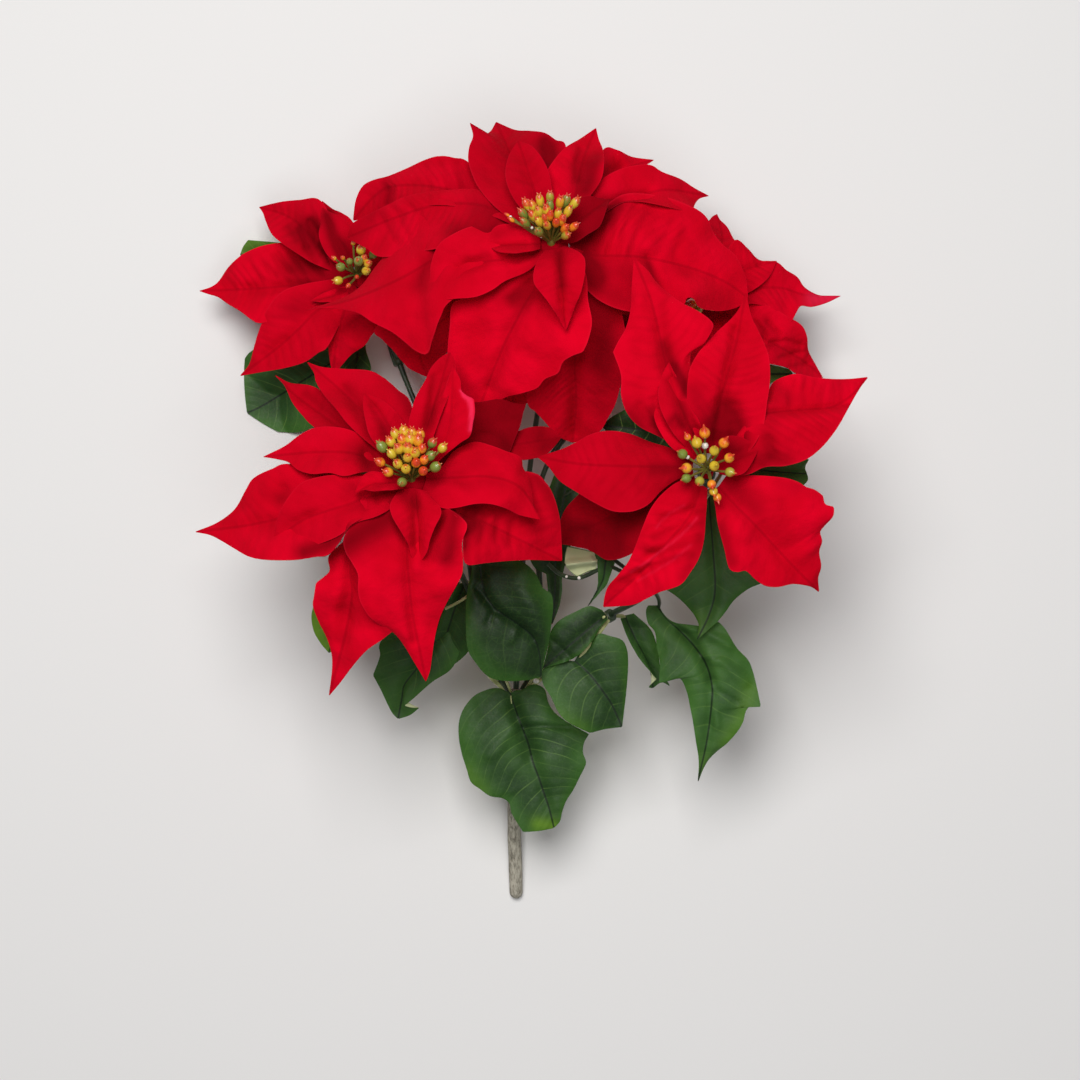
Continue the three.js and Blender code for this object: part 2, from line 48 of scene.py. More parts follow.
# %% [markdown]
# ## Camera
#
# The bush lies on the floor with its blooms facing up, and the photograph looks straight at them. So the
# camera hangs over the bush and looks straight down, 1.6 m above the floor. A long lens keeps the far
# leaves almost as large as the near blooms. A picture point and a height then give one place in space.
# The tables measure from the middle of the picture, and MIDDLE is the middle of the bush's box there.

# %% Set up the camera
PIXELS = 1080
SENSOR = 36.0
CAMERA_HEIGHT = 1600.0
FOCAL_PIXELS = 1500 / 0.55
MIDDLE = np.array([-9.899, 12.736, 0.0])
MM = 0.001

camera_data = bpy.data.cameras.new("camera")
camera_data.sensor_width = SENSOR
camera_data.lens = FOCAL_PIXELS / PIXELS * SENSOR
camera_data.clip_start = 0.1
camera = bpy.data.objects.new("camera", camera_data)
camera.location = (-MIDDLE[0] * MM, -MIDDLE[1] * MM, CAMERA_HEIGHT * MM)
scene.collection.objects.link(camera)
scene.camera = camera
scene.view_settings.view_transform = "Standard"


def under_picture(pixels, heights):
    """The places, in millimetres, that lie under picture points at the given heights."""
    share = (CAMERA_HEIGHT - heights) / FOCAL_PIXELS
    across = (pixels[..., 0] - PIXELS / 2) * share
    up = (PIXELS / 2 - pixels[..., 1]) * share
    return np.stack([across, up, heights], axis=-1)


print("lens", round(camera_data.lens, 2), "mm")

# %% [markdown]
# ## Small helpers for node trees
#
# Every material and Geometry Nodes tree below is built from nodes in the script. A few helpers keep that
# short: the first adds a node and fills in or joins its sockets, and the others are steps that come back in
# every tree, such as a sum, a smooth ramp or a layer of colour.


# %% Helpers for nodes
def add_node(tree, kind, settings=None, **inputs):
    """Adds a node, sets its own settings, and gives each named input a value or a link."""
    node = tree.nodes.new(kind)
    for key, value in (settings or {}).items():
        setattr(node, key, value)
    for key, value in inputs.items():
        socket = node.inputs[int(key[1:])] if key[0] == "_" else node.inputs[key.replace("_", " ")]
        if isinstance(value, bpy.types.NodeSocket):
            tree.links.new(value, socket)
        else:
            socket.default_value = value
    return node


def do_math(tree, operation, first, second=0.0):
    """One step of arithmetic on sockets or numbers."""
    return add_node(tree, "ShaderNodeMath", {"operation": operation}, _0=first, _1=second).outputs[0]


def weaken(tree, mask, share):
    """A mask made weaker by a number or by another mask."""
    return do_math(tree, "MULTIPLY", mask, share)


def ramp(tree, value, low, high, out_low=0.0, out_high=1.0):
    """Spreads a value smoothly from one range over another."""
    node = add_node(
        tree, "ShaderNodeMapRange", {"interpolation_type": "SMOOTHSTEP"},
        _0=value, _1=low, _2=high, _3=out_low, _4=out_high,
    )
    return node.outputs["Result"]


def blend_colors(tree, share, first, second):
    """Mixes two colours."""
    return add_node(tree, "ShaderNodeMix", {"data_type": "RGBA"}, _0=share, _6=first, _7=second).outputs[2]


def lay_colors(tree, base, *layers):
    """Lays colours over a base one after the other, each with its share."""
    for share, color in layers:
        base = blend_colors(tree, share, base, color)
    return base


def tone(red, green, blue):
    """A picture colour of 0 to 255 as the linear colour that a shader works with."""
    shares = [value / 255 for value in (red, green, blue)]
    linear = [s / 12.92 if s <= 0.04045 else ((s + 0.055) / 1.055) ** 2.4 for s in shares]
    return (*linear, 1.0)


def read_attribute(tree, name):
    """The three parts of an attribute that is stored with the points of a piece."""
    stored = add_node(tree, "ShaderNodeAttribute", {"attribute_name": name})
    return add_node(tree, "ShaderNodeSeparateXYZ", _0=stored.outputs["Vector"]).outputs


def new_group(name, inputs, outputs):
    """A shader node group with named inputs and outputs."""
    group = bpy.data.node_groups.new(name, "ShaderNodeTree")
    for label, default in inputs.items():
        socket = group.interface.new_socket(label, in_out="INPUT", socket_type="NodeSocketFloat")
        socket.default_value = default
    for label in outputs:
        group.interface.new_socket(label, in_out="OUTPUT", socket_type="NodeSocketFloat")
    return group, group.nodes.new("NodeGroupInput"), group.nodes.new("NodeGroupOutput")


def new_material(name):
    """A material with its tree, its Principled shader and the piece's own coordinates."""
    material = bpy.data.materials.new(name)
    material.use_nodes = True
    tree = material.node_tree
    shader = tree.nodes["Principled BSDF"]
    place = tree.nodes.new("ShaderNodeTexCoord").outputs["Object"]
    return material, tree, shader, place


# %% [markdown]
# ## Pressed veins
#
# A press gives both the bracts and the leaves their veins: a midrib down the middle, and side veins that
# run out and forward to the margin. Each blade carries an attribute named sheet. Its first part counts the
# side veins along the blade, so it is a whole number on a vein, and its second is the distance from the
# midrib in millimetres. One node group turns that into masks, so colour and relief follow the same lines.

# %% Build the group for veins
pressed_veins, group_in, group_out = new_group(
    "pressed_veins", {"Width": 0.1, "Rib Width": 0.6}, ["Veins", "Midrib", "Swell"]
)
tree = pressed_veins
sheet = read_attribute(tree, "sheet")
cycle = do_math(tree, "FRACT", sheet["X"])
nearest = do_math(tree, "MINIMUM", cycle, do_math(tree, "SUBTRACT", 1.0, cycle))
from_vein = do_math(tree, "DIVIDE", nearest, group_in.outputs["Width"])
from_rib = do_math(tree, "DIVIDE", do_math(tree, "ABSOLUTE", sheet["Y"]), group_in.outputs["Rib Width"])
tree.links.new(ramp(tree, from_vein, 0.0, 1.0, 1.0, 0.0), group_out.inputs["Veins"])
tree.links.new(ramp(tree, from_rib, 0.2, 1.0, 1.0, 0.0), group_out.inputs["Midrib"])
tree.links.new(ramp(tree, nearest, 0.0, 0.5), group_out.inputs["Swell"])
print("group", pressed_veins.name)

# %% [markdown]
# ## Mottling
#
# No real surface is one flat colour. This group lays coarse and fine noise over each other, and every
# material takes from it a soft change of tone and a fine grain for its bump.

# %% Build the group for mottling
mottling, group_in, group_out = new_group("mottling", {"Coarse": 60.0, "Fine": 900.0}, ["Cloud", "Grain"])
place = mottling.nodes.new("ShaderNodeTexCoord").outputs["Object"]
cloud = add_node(mottling, "ShaderNodeTexNoise", Vector=place, Scale=group_in.outputs["Coarse"], Detail=3.0)
grain = add_node(mottling, "ShaderNodeTexNoise", Vector=place, Scale=group_in.outputs["Fine"], Detail=2.0)
mottling.links.new(ramp(mottling, cloud.outputs[0], 0.3, 0.7), group_out.inputs["Cloud"])
mottling.links.new(grain.outputs[0], group_out.inputs["Grain"])
print("group", mottling.name)


def use_group(tree, group, **inputs):
    """Places a shader group in a material."""
    node = tree.nodes.new("ShaderNodeGroup")
    node.node_tree = group
    for key, value in inputs.items():
        node.inputs[key.replace("_", " ")].default_value = value
    return node.outputs


def add_bump(tree, shader, height, strength, distance):
    """Feeds a height into the shader's normal."""
    bump = add_node(tree, "ShaderNodeBump", Strength=strength, Distance=distance, Height=height)
    tree.links.new(bump.outputs["Normal"], shader.inputs["Normal"])


# %% [markdown]
# ## Red velvet
#
# The bracts are cut from a short-pile fabric with a soft, deep red. The pressed veins show more as relief
# than as colour, and how much they show differs from bract to bract. The attribute named press holds that
# strength, then a pink blush for curled edges that also carries painted highlights on some fold ridges,
# then painted shade: a slight random darkening plus painted shadows in creases, under overlapping bracts
# and in recesses. The attribute named trim holds the bract's own tone, whether a face is the underside, and
# how near the margin a point lies. Painted shade also darkens each bract near its hub, and the very margin
# turns a paler pink.

# %% Make the velvet
velvet, tree, shader, place = new_material("red_velvet")
veins = use_group(tree, pressed_veins, Width=0.3, Rib_Width=1.3)
nap = use_group(tree, mottling, Coarse=45.0, Fine=1500.0)
folds = add_node(tree, "ShaderNodeTexNoise", Vector=place, Scale=150.0, Detail=3.0, Roughness=0.55)
patches = add_node(tree, "ShaderNodeTexNoise", Vector=place, Scale=60.0, Detail=2.0)
sheet, trim, press = (read_attribute(tree, name) for name in ("sheet", "trim", "press"))
patchy = weaken(tree, press["X"], ramp(tree, patches.outputs[0], 0.35, 0.65, 0.25, 1.0))
pressed = weaken(tree, veins["Veins"], patchy)
# painted shade deep in each bract's cup near the hub
painted_hub_shade = ramp(tree, sheet["Z"], 0.0, 0.3, 0.55, 0.0)
# the very margin is mixed toward a paler pink
pale_rim = ramp(tree, trim["Z"], 0.96, 1.0, 0.0, 0.12)
base = lay_colors(
    tree, tone(196, 0, 26),
    (nap["Cloud"], tone(216, 0, 33)),
    (weaken(tree, trim["X"], 0.4), tone(186, 0, 24)),
    # painted shade: shade lines, crease shadows and darkened bracts, over a slight random darker tone
    (press["Z"], tone(128, 0, 14)),
    (weaken(tree, pressed, 0.4), tone(128, 0, 12)),
    (weaken(tree, veins["Midrib"], 0.3), tone(120, 0, 12)),
    (painted_hub_shade, tone(120, 0, 12)),
    (pale_rim, tone(236, 40, 66)),
    (weaken(tree, trim["Y"], 0.6), tone(206, 22, 54)),
    # blush: the real pink of curled edges, plus painted highlights on some fold ridges
    (press["Y"], tone(228, 36, 74)),
)
tree.links.new(base, shader.inputs["Base Color"])
shader.inputs["Roughness"].default_value = 0.95
shader.inputs["Specular IOR Level"].default_value = 0.04
shader.inputs["Sheen Weight"].default_value = 0.06
shader.inputs["Sheen Roughness"].default_value = 0.4
shader.inputs["Sheen Tint"].default_value = tone(255, 40, 60)
height = do_math(tree, "ADD", weaken(tree, veins["Swell"], patchy), weaken(tree, folds.outputs[0], 1.1))
height = do_math(tree, "ADD", height, weaken(tree, nap["Grain"], 0.12))
add_bump(tree, shader, height, 0.8, 0.0009)
print("velvet", velvet.name)

# %% [markdown]
# ## Leaf satin
#
# The leaves are a smoother fabric with a satin face. Thin pale veins and a fine net between them are
# printed on it, a dark crease runs down the midrib, and the face goes from a bluish dark green to
# yellow-green at the margin. The underside is a dull pale green. Painted shade darkens the creases, and a
# yellow-green blush lightens some patches, partly the leaf's own colour and partly painted light on leaves
# that lie in shade.

# %% Make the leaf satin
leaf_satin, tree, shader, place = new_material("leaf_satin")
veins = use_group(tree, pressed_veins, Width=0.07, Rib_Width=0.9)
shade = use_group(tree, mottling, Coarse=34.0, Fine=1100.0)
folds = add_node(tree, "ShaderNodeTexNoise", Vector=place, Scale=110.0, Detail=3.0)
patches = add_node(tree, "ShaderNodeTexNoise", Vector=place, Scale=75.0, Detail=2.0)
net = add_node(tree, "ShaderNodeTexVoronoi", {"feature": "DISTANCE_TO_EDGE"}, Vector=place, Scale=260.0)
net_lines = ramp(tree, net.outputs["Distance"], 0.0, 0.05, 0.12, 0.0)
trim, press = (read_attribute(tree, name) for name in ("trim", "press"))
rim_glow = ramp(tree, trim["Z"], 0.5, 1.0, 0.0, 0.4)
shown = weaken(tree, veins["Veins"], ramp(tree, patches.outputs[0], 0.4, 0.62, 0.15, 0.5))
base = lay_colors(
    tree, tone(42, 76, 32),
    (shade["Cloud"], tone(64, 104, 44)),
    (weaken(tree, trim["X"], 0.85), tone(14, 34, 8)),
    (rim_glow, tone(58, 108, 24)),
    (net_lines, tone(84, 126, 48)),
    (weaken(tree, shown, press["X"]), tone(128, 164, 80)),
    # yellow-green blush: partly the leaf's own colour, partly painted light on leaves that lie in shade
    (press["Y"], tone(120, 164, 30)),
    # painted shade in the creases
    (press["Z"], tone(8, 24, 8)),
    (weaken(tree, veins["Midrib"], 0.85), tone(8, 24, 8)),
    (weaken(tree, trim["Y"], 0.9), tone(208, 214, 168)),
)
tree.links.new(base, shader.inputs["Base Color"])
tree.links.new(ramp(tree, shade["Grain"], 0.3, 0.7, 0.52, 0.66), shader.inputs["Roughness"])
shader.inputs["Specular IOR Level"].default_value = 0.28
shader.inputs["Sheen Weight"].default_value = 0.04
shader.inputs["Sheen Tint"].default_value = tone(150, 200, 170)
height = do_math(tree, "ADD", weaken(tree, veins["Swell"], 0.18), folds.outputs[0])
height = do_math(tree, "ADD", height, weaken(tree, shade["Grain"], 0.06))
add_bump(tree, shader, height, 0.6, 0.0012)
print("satin", leaf_satin.name)


# %% [markdown]
# ## Moulded plastics
#
# The stalks and sleeves are moulded plastic, and so is a drop of set glue. One helper makes such a
# material from two tones and a roughness, so each differs only in its values.


# %% Make the plastics
def moulded(name, dark, light, roughness):
    """A moulded plastic with mottled colour and a fine surface grain."""
    material, tree, shader, _ = new_material(name)
    look = use_group(tree, mottling, Coarse=120.0, Fine=1500.0)
    tree.links.new(blend_colors(tree, look["Cloud"], dark, light), shader.inputs["Base Color"])
    spread = ramp(tree, look["Grain"], 0.3, 0.7, roughness - 0.06, roughness + 0.06)
    tree.links.new(spread, shader.inputs["Roughness"])
    add_bump(tree, shader, look["Grain"], 0.15, 0.0003)
    return material


sleeve = moulded("wire_sleeve", tone(22, 38, 20), tone(48, 66, 36), 0.45)
pale_stalk = moulded("pale_stalk", tone(138, 144, 84), tone(190, 192, 136), 0.5)
olive_stalk = moulded("olive_stalk", tone(92, 88, 30), tone(138, 130, 52), 0.5)
set_glue = moulded("set_glue", tone(226, 222, 212), tone(244, 240, 232), 0.25)
print("plastics", sleeve.name, pale_stalk.name, olive_stalk.name, set_glue.name)

# %% [markdown]
# The stem is moulded like bark: long grooves along it, with grey wiped over brown. A noise that is
# stretched along the stem gives the streaks.

# %% Make the bark
bark, tree, shader, place = new_material("moulded_bark")
stretched = add_node(tree, "ShaderNodeMapping", Vector=place, Scale=(820.0, 190.0, 820.0))
streaks = add_node(tree, "ShaderNodeTexNoise", Vector=stretched.outputs[0], Scale=1.0, Detail=5.0, Roughness=0.7)
flecks = use_group(tree, mottling, Coarse=260.0, Fine=1600.0)
base = lay_colors(
    tree, tone(98, 92, 80),
    (ramp(tree, streaks.outputs[0], 0.32, 0.62), tone(184, 178, 162)),
    (weaken(tree, flecks["Cloud"], 0.25), tone(118, 118, 104)),
)
tree.links.new(base, shader.inputs["Base Color"])
shader.inputs["Roughness"].default_value = 0.78
add_bump(tree, shader, streaks.outputs[0], 0.6, 0.0008)
print("bark", bark.name)

# %% [markdown]
# ## Berry gloss
#
# Each berry is dipped: yellow, orange or green below, with a rosy tip. The attribute named dip holds how
# far up the berry a point lies, the berry's own tone, and how rosy it is. The gloss is a thin coat.

# %% Make the berry gloss
berry_gloss, tree, shader, _ = new_material("berry_gloss")
dip = read_attribute(tree, "dip")
blush = use_group(tree, mottling, Coarse=420.0, Fine=1800.0)
reach = do_math(tree, "ADD", dip["X"], weaken(tree, blush["Cloud"], 0.3))
reach = do_math(tree, "ADD", reach, weaken(tree, dip["Z"], 0.45))
base = lay_colors(
    tree, tone(122, 138, 56),
    (ramp(tree, dip["Y"], 0.2, 0.5), tone(216, 186, 48)),
    (ramp(tree, dip["Y"], 0.6, 0.9), tone(240, 148, 34)),
    (ramp(tree, reach, 1.0, 1.3, 0.0, 0.9), tone(210, 44, 28)),
)
tree.links.new(base, shader.inputs["Base Color"])
shader.inputs["Roughness"].default_value = 0.38
shader.inputs["Coat Weight"].default_value = 0.4
shader.inputs["Coat Roughness"].default_value = 0.12
add_bump(tree, shader, blush["Grain"], 0.1, 0.0002)
print("berry gloss", berry_gloss.name)

# %% [markdown]
# ## The shapes that every piece starts from
#
# Bracts and leaves are both blades: a cut outline that narrows to a point, arched along its length and
# folded at its midrib. The same rule that shapes the solid shapes the fine mesh, so the two agree, and the
# fine mesh adds what a press and a hand give it: veins, pleats, a wavy margin and a bent tip.

# %% Rules for a blade
BURIED = 4.0
LEAF_START = 0.02
TOOTH_REACH = 0.09
MARGIN_FALL = 0.15
LOBE_FADE = 5
FINEST = 0.15
SHEET = 0.4
FLOOR_CLEARANCE = 0.25
LINE_STEPS = 12
FABRIC_HEIGHT = 100
BRACT_SHAPE = {"base": 1.1, "point": 1.25, "lobe": 0.0}
LEAF_SHAPE = {"base": 0.45, "point": 0.9, "lobe": 0.14}


def widest_at(shape):
    """How far along a blade it is widest."""
    return shape["base"] / (shape["base"] + shape["point"])


def breadth(along, shape):
    """The half width along a blade, 1 where it is widest."""
    widest = widest_at(shape)
    rise = (along / widest) ** shape["base"]
    return rise * ((1 - along) / (1 - widest)) ** shape["point"]


def unit(vectors):
    """The same vectors with a length of 1."""
    length = np.linalg.norm(vectors, axis=-1, keepdims=True)
    return vectors / np.maximum(length, 1e-9)


def smooth_line(points, shares):
    """Points at shares of the length of a smooth line. A point given twice is a sharp corner."""
    pieces, piece = [], [np.array(points[0], float)]
    for point in points[1:]:
        point = np.array(point, float)
        if np.allclose(point, piece[-1]):
            pieces.append(piece)
            piece = [point]
        else:
            piece.append(point)
    pieces.append(piece)
    track = []
    for piece in pieces:
        if len(piece) == 1:
            continue
        knots = [2 * piece[0] - piece[1], *piece, 2 * piece[-1] - piece[-2]]
        for p0, p1, p2, p3 in zip(knots, knots[1:], knots[2:], knots[3:]):
            for t in np.linspace(0, 1, LINE_STEPS, endpoint=False):
                track.append(0.5 * (
                    2 * p1 + (p2 - p0) * t + (2 * p0 - 5 * p1 + 4 * p2 - p3) * t * t
                    + (3 * p1 - p0 - 3 * p2 + p3) * t ** 3
                ))
    track.append(pieces[-1][-1])
    track = np.array(track)
    steps = np.linalg.norm(np.diff(track, axis=0), axis=1)
    travelled = np.concatenate([[0], np.cumsum(steps)])
    wanted = np.asarray(shares) * travelled[-1]
    return np.stack([np.interp(wanted, travelled, track[:, axis]) for axis in range(track.shape[1])], axis=-1)


def lay_out(blade, along, side):
    """The middle layer of a blade on a grid, with how far along and across each point lies."""
    shape = blade["shape"]
    tip = np.array(blade["tip"], float)
    length = np.linalg.norm(tip)
    direction = tip / length
    across = unit(np.cross(direction, np.array(blade["facing"], float)))
    out = np.cross(across, direction)
    half = np.maximum(blade["width"] / 2 * breadth(along, shape), FINEST)
    for at, margin, size in blade["teeth"]:
        rise = size * np.maximum(0, 1 - np.abs(along - at) / TOOTH_REACH)
        half = half + np.where(np.sign(side) == margin, rise, 0)
    back = shape["lobe"] * side * side * (1 - along) ** LOBE_FADE
    arch = np.sin(np.pi * along)
    fold = half * blade["fold"] * np.abs(side)
    lift = blade["bow"] * arch + fold - half * MARGIN_FALL * side * side
    points = (
        np.array(blade["base"], float)
        + tip * (along - back)[..., None]
        + across * (half * side + blade["sweep"] * arch)[..., None]
        + out * lift[..., None]
    )
    inward = half * side
    if "rib" in blade:
        flat = along[:, 0]
        rib = smooth_line(blade["rib"], flat)[:, None, :]
        margins = [smooth_line(blade[name], flat)[:, None, :] for name in ("left", "right")]
        width = np.where(side[..., None] < 0, margins[0] - rib, margins[1] - rib)
        pixels = rib + width * np.abs(side)[..., None]
        points = under_picture(pixels, points[..., 2])
        reach = np.linalg.norm(width, axis=-1) * (CAMERA_HEIGHT - FABRIC_HEIGHT) / FOCAL_PIXELS
        inward = np.maximum(reach, FINEST) * side
    return points, along * length, inward, out


def face_out(points, out):
    """The directions straight out of the upper face of a grid of points."""
    forward = np.gradient(points, axis=0)
    sideways = np.gradient(points, axis=1)
    normals = unit(np.cross(forward, sideways))
    flip = np.sign((normals @ out).mean())
    return normals * (flip if flip else 1)


print("a bract is widest at", round(widest_at(BRACT_SHAPE), 2))

# %% [markdown]
# ## Relief
#
# The press sinks the midrib and the side veins into the sheet and leaves the fabric between them swollen.
# Handling adds the rest: creases where the fabric was folded, soft waves over the whole blade and a margin
# that ripples up and down. A crease is a line of picture points with a depth and a width in millimetres.

# %% Add the relief of a blade
VEIN_LEAN = 0.42
VEIN_BEND = 0.008
VEIN_WANDER = 5.0
VEINS_BEFORE = 40
CREASE_GAIN = 1.6
CREASE_SHADE = 0.16
MIDDLE_DEPTH = 0.92
COARSE_DRIFT = 0.035
FINE_DRIFT = 0.09


def seen_at(points):
    """The picture points at which places are seen."""
    share = (CAMERA_HEIGHT - points[..., 2]) / FOCAL_PIXELS
    return np.stack([PIXELS / 2 + points[..., 0] / share, PIXELS / 2 - points[..., 1] / share], axis=-1)


def gap_to_line(spots, line):
    """How far each picture point lies from a line, in millimetres at the middle depth of the bush."""
    gap = np.full(spots.shape[:-1], np.inf)
    for start, end in zip(line, line[1:]):
        run = end - start
        share = np.clip(((spots - start) @ run) / (run @ run), 0, 1)
        gap = np.minimum(gap, np.linalg.norm(spots - start - share[..., None] * run, axis=-1))
    return gap * CAMERA_HEIGHT * MIDDLE_DEPTH / FOCAL_PIXELS


def smooth_noise(first, second, scale, seed):
    """Soft noise from -1 to 1 over two coordinates in millimetres."""
    values = [noise.noise(Vector((x * scale, y * scale, seed))) for x, y in zip(first.ravel(), second.ravel())]
    return np.array(values).reshape(first.shape)


def count_veins(blade, travelled, inward):
    """How many side veins lie between the base and each point. It is whole on a vein."""
    reach = np.abs(inward)
    wander = VEIN_WANDER * smooth_noise(travelled, inward, 0.045, blade["seed"] + 50)
    return (travelled - VEIN_LEAN * reach - VEIN_BEND * reach ** 2 + wander) / blade["spacing"] + VEINS_BEFORE


def relief(blade, points, along, travelled, inward, side, random):
    """How far each point rises out of the blade's face, in millimetres."""
    reach = np.abs(inward)
    cycle = count_veins(blade, travelled, inward) % 1
    nearest = np.minimum(cycle, 1 - cycle) * 2
    fade = np.clip(along / 0.12, 0, 1) * np.clip((1 - along) / 0.2, 0, 1)
    swell = np.sin(np.pi * nearest / 2) * np.clip(reach / 2.0, 0, 1)
    rise = fade * blade["pleat"] * swell
    rise = rise - fade * blade["rib_depth"] * np.exp(-(reach / blade["rib_reach"]) ** 2)
    wave = 2 * np.pi * (along * blade["waves"] + random.uniform(0, 1) + 0.37 * np.sign(inward))
    rise = rise + blade["ruffle"] * np.abs(side) ** 3 * np.sin(wave) * fade
    drift = smooth_noise(travelled, inward, COARSE_DRIFT, blade["seed"])
    drift = drift + 0.4 * smooth_noise(travelled, inward, FINE_DRIFT, blade["seed"] + 20)
    rise = rise + blade["crumple"] * drift * np.clip(along / 0.15, 0, 1)
    spots = seen_at(points)
    for depth, half_width, line in blade["creases"]:
        rise = rise - CREASE_GAIN * depth * np.exp(-(gap_to_line(spots, line) / half_width) ** 2)
    return rise


def marks_on(marks, spots):
    """How strongly soft marks show at picture points. A mark has an amount, a half width and a line."""
    shown = np.zeros(spots.shape[:-1])
    for amount, half_width, line in marks:
        shown = shown + amount * np.exp(-(gap_to_line(spots, line) / half_width) ** 2)
    return shown


print("a picture pixel is", round(CAMERA_HEIGHT * MIDDLE_DEPTH / FOCAL_PIXELS, 3), "mm at the middle depth")

# %% [markdown]
# ## From a grid to a closed sheet
#
# A blade is a real sheet with two faces and a thin rim. Both layers come from the same grid, moved half
# the thickness each way, and a strip of faces closes the rim. The attributes that the materials read are
# stored with the points.


# %% Sew the layers together
LAST_STATION = 0.995
RAISED_FROM = 0.3
SHARP_ANGLE = 62


def blade_mesh(blade, rows, columns, random):
    """The vertices, quads and attributes of one blade."""
    start = LEAF_START if blade["shape"]["lobe"] else BURIED / np.linalg.norm(blade["tip"])
    stations = start + (LAST_STATION - start) * np.linspace(0, 1, rows + 1)
    along, side = np.meshgrid(stations, np.linspace(-1, 1, columns + 1), indexing="ij")
    points, travelled, inward, out = lay_out(blade, along, side)
    spots = seen_at(points)
    rise = relief(blade, points, along, travelled, inward, side, random)
    droop = np.clip((along - 0.75) / 0.25, 0, 1) ** 2 * blade["tip_bend"]
    if "rib" not in blade:
        points = points + face_out(points, out) * rise[..., None]
        rise = 0
    lowest = FLOOR_CLEARANCE + SHEET / 2
    raised = blade.get("raise", 0) * np.clip(along / RAISED_FROM, 0, 1)
    points[..., 2] = np.maximum(points[..., 2] + rise * np.sign(out[2]) + droop + raised, lowest)
    if "rib" in blade:
        points = under_picture(spots, points[..., 2])
    normals = face_out(points, out)
    layers = np.concatenate([
        (points + normals * SHEET / 2).reshape(-1, 3),
        (points - normals * SHEET / 2).reshape(-1, 3),
    ])
    wide = columns + 1
    corner = (np.arange(rows)[:, None] * wide + np.arange(columns)[None, :]).ravel()
    upper = np.stack([corner, corner + 1, corner + wide + 1, corner + wide], axis=1)
    below = along.size
    lower = upper[:, ::-1] + below
    loop = np.concatenate([
        np.arange(wide),
        np.arange(1, rows + 1) * wide + columns,
        rows * wide + np.arange(columns - 1, -1, -1),
        np.arange(rows - 1, 0, -1) * wide,
    ])
    after = np.roll(loop, -1)
    rim = np.stack([loop, loop + below, after + below, after], axis=1)
    first, second, _, last = layers[upper[0]]
    quads = np.concatenate([upper, lower, rim])
    if np.cross(second - first, last - first) @ normals[0, 0] < 0:
        quads = quads[:, ::-1]
    return layers, quads, blade_labels(blade, along, side, travelled, inward, spots)


def blade_labels(blade, along, side, travelled, inward, spots):
    """The attributes of a blade, for its upper layer and then for its lower one."""
    fading = np.clip((1.15 - np.abs(side)) / 0.5, 0, 1) * np.clip((1 - along) / blade.get("fade", 0.25), 0, 1)
    shares = blade["halves"][0] * (side < 0) + blade["halves"][1] * (side >= 0)
    # blush: the blade's real pink or yellow-green, plus painted highlights and painted light where lines or
    # finishes give them
    blush = np.clip(blade["blush"] + marks_on(blade["blushes_and_highlights"], spots), 0, 1)
    # painted shade: the blade's darkening plus its shade lines and crease shadows
    dark = np.clip(blade["dark"] + marks_on(blade["shades"], spots), 0, 1)
    inside = ((np.abs(side) < 0.99) & (along < 0.97)).astype(float)
    tones = np.full(side.shape, blade["tone"])
    sheet = [count_veins(blade, travelled, inward), inward, along]
    press = [blade["strength"] * shares * fading, blush, dark]
    upper = {"sheet": sheet, "trim": [tones, np.zeros(side.shape), np.abs(side)], "press": press}
    lower = {"sheet": sheet, "trim": [tones, inside, np.abs(side)], "press": press}
    return {
        label: np.concatenate([np.stack(layer[label], axis=-1).reshape(-1, 3) for layer in (upper, lower)])
        for label in upper
    }


def build_mesh(name, parts, materials):
    """One object from several closed parts, each with its quads, its material and its attributes."""
    mesh = bpy.data.meshes.new(name)
    points = np.concatenate([part["points"] for part in parts]) - MIDDLE
    offsets = np.cumsum([0] + [len(part["points"]) for part in parts])
    faces = [face for part, offset in zip(parts, offsets) for face in (part["faces"] + offset).tolist()]
    mesh.from_pydata((points * MM).tolist(), [], faces)
    for label in parts[0]["attributes"]:
        data = np.concatenate([part["attributes"][label] for part in parts])
        attribute = mesh.attributes.new(label, "FLOAT_VECTOR", "POINT")
        attribute.data.foreach_set("vector", data.astype(np.float32).ravel())
    for material in materials:
        mesh.materials.append(material)
    index = np.concatenate([np.full(len(part["faces"]), part["material"]) for part in parts])
    mesh.polygons.foreach_set("material_index", index.astype(np.int32))
    mesh.polygons.foreach_set("use_smooth", np.ones(len(index), bool))
    mesh.update()
    mesh.set_sharp_from_angle(angle=math.radians(SHARP_ANGLE))
    made = bpy.data.objects.new(name, mesh)
    scene.collection.objects.link(made)
    return made


def finish_piece(piece, node):
    """Puts a finished piece in the place of its solid."""
    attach(piece, "root")
    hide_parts(node)
    triangles = sum(len(face.vertices) - 2 for face in piece.data.polygons)
    print(piece.name, "stands for", node, "with", triangles, "triangles")


# %% [markdown]
# ## Tubes by Geometry Nodes
#
# Wires, stalks and petioles all follow a path. One Geometry Nodes tree turns a path into a tube: the path
# is a mesh of edges with an attribute for its thickness, and Curve to Mesh sweeps a circle along it. Named
# inputs give the number of sides and the material.

# %% Build the tube tree
def new_geometry_tree(name, inputs):
    """An empty Geometry Nodes tree with named inputs and one geometry output."""
    tree = bpy.data.node_groups.new(name, "GeometryNodeTree")
    tree.interface.new_socket("Geometry", in_out="INPUT", socket_type="NodeSocketGeometry")
    for label, kind in inputs.items():
        tree.interface.new_socket(label, in_out="INPUT", socket_type=kind)
    tree.interface.new_socket("Geometry", in_out="OUTPUT", socket_type="NodeSocketGeometry")
    return tree, tree.nodes.new("NodeGroupInput"), tree.nodes.new("NodeGroupOutput")


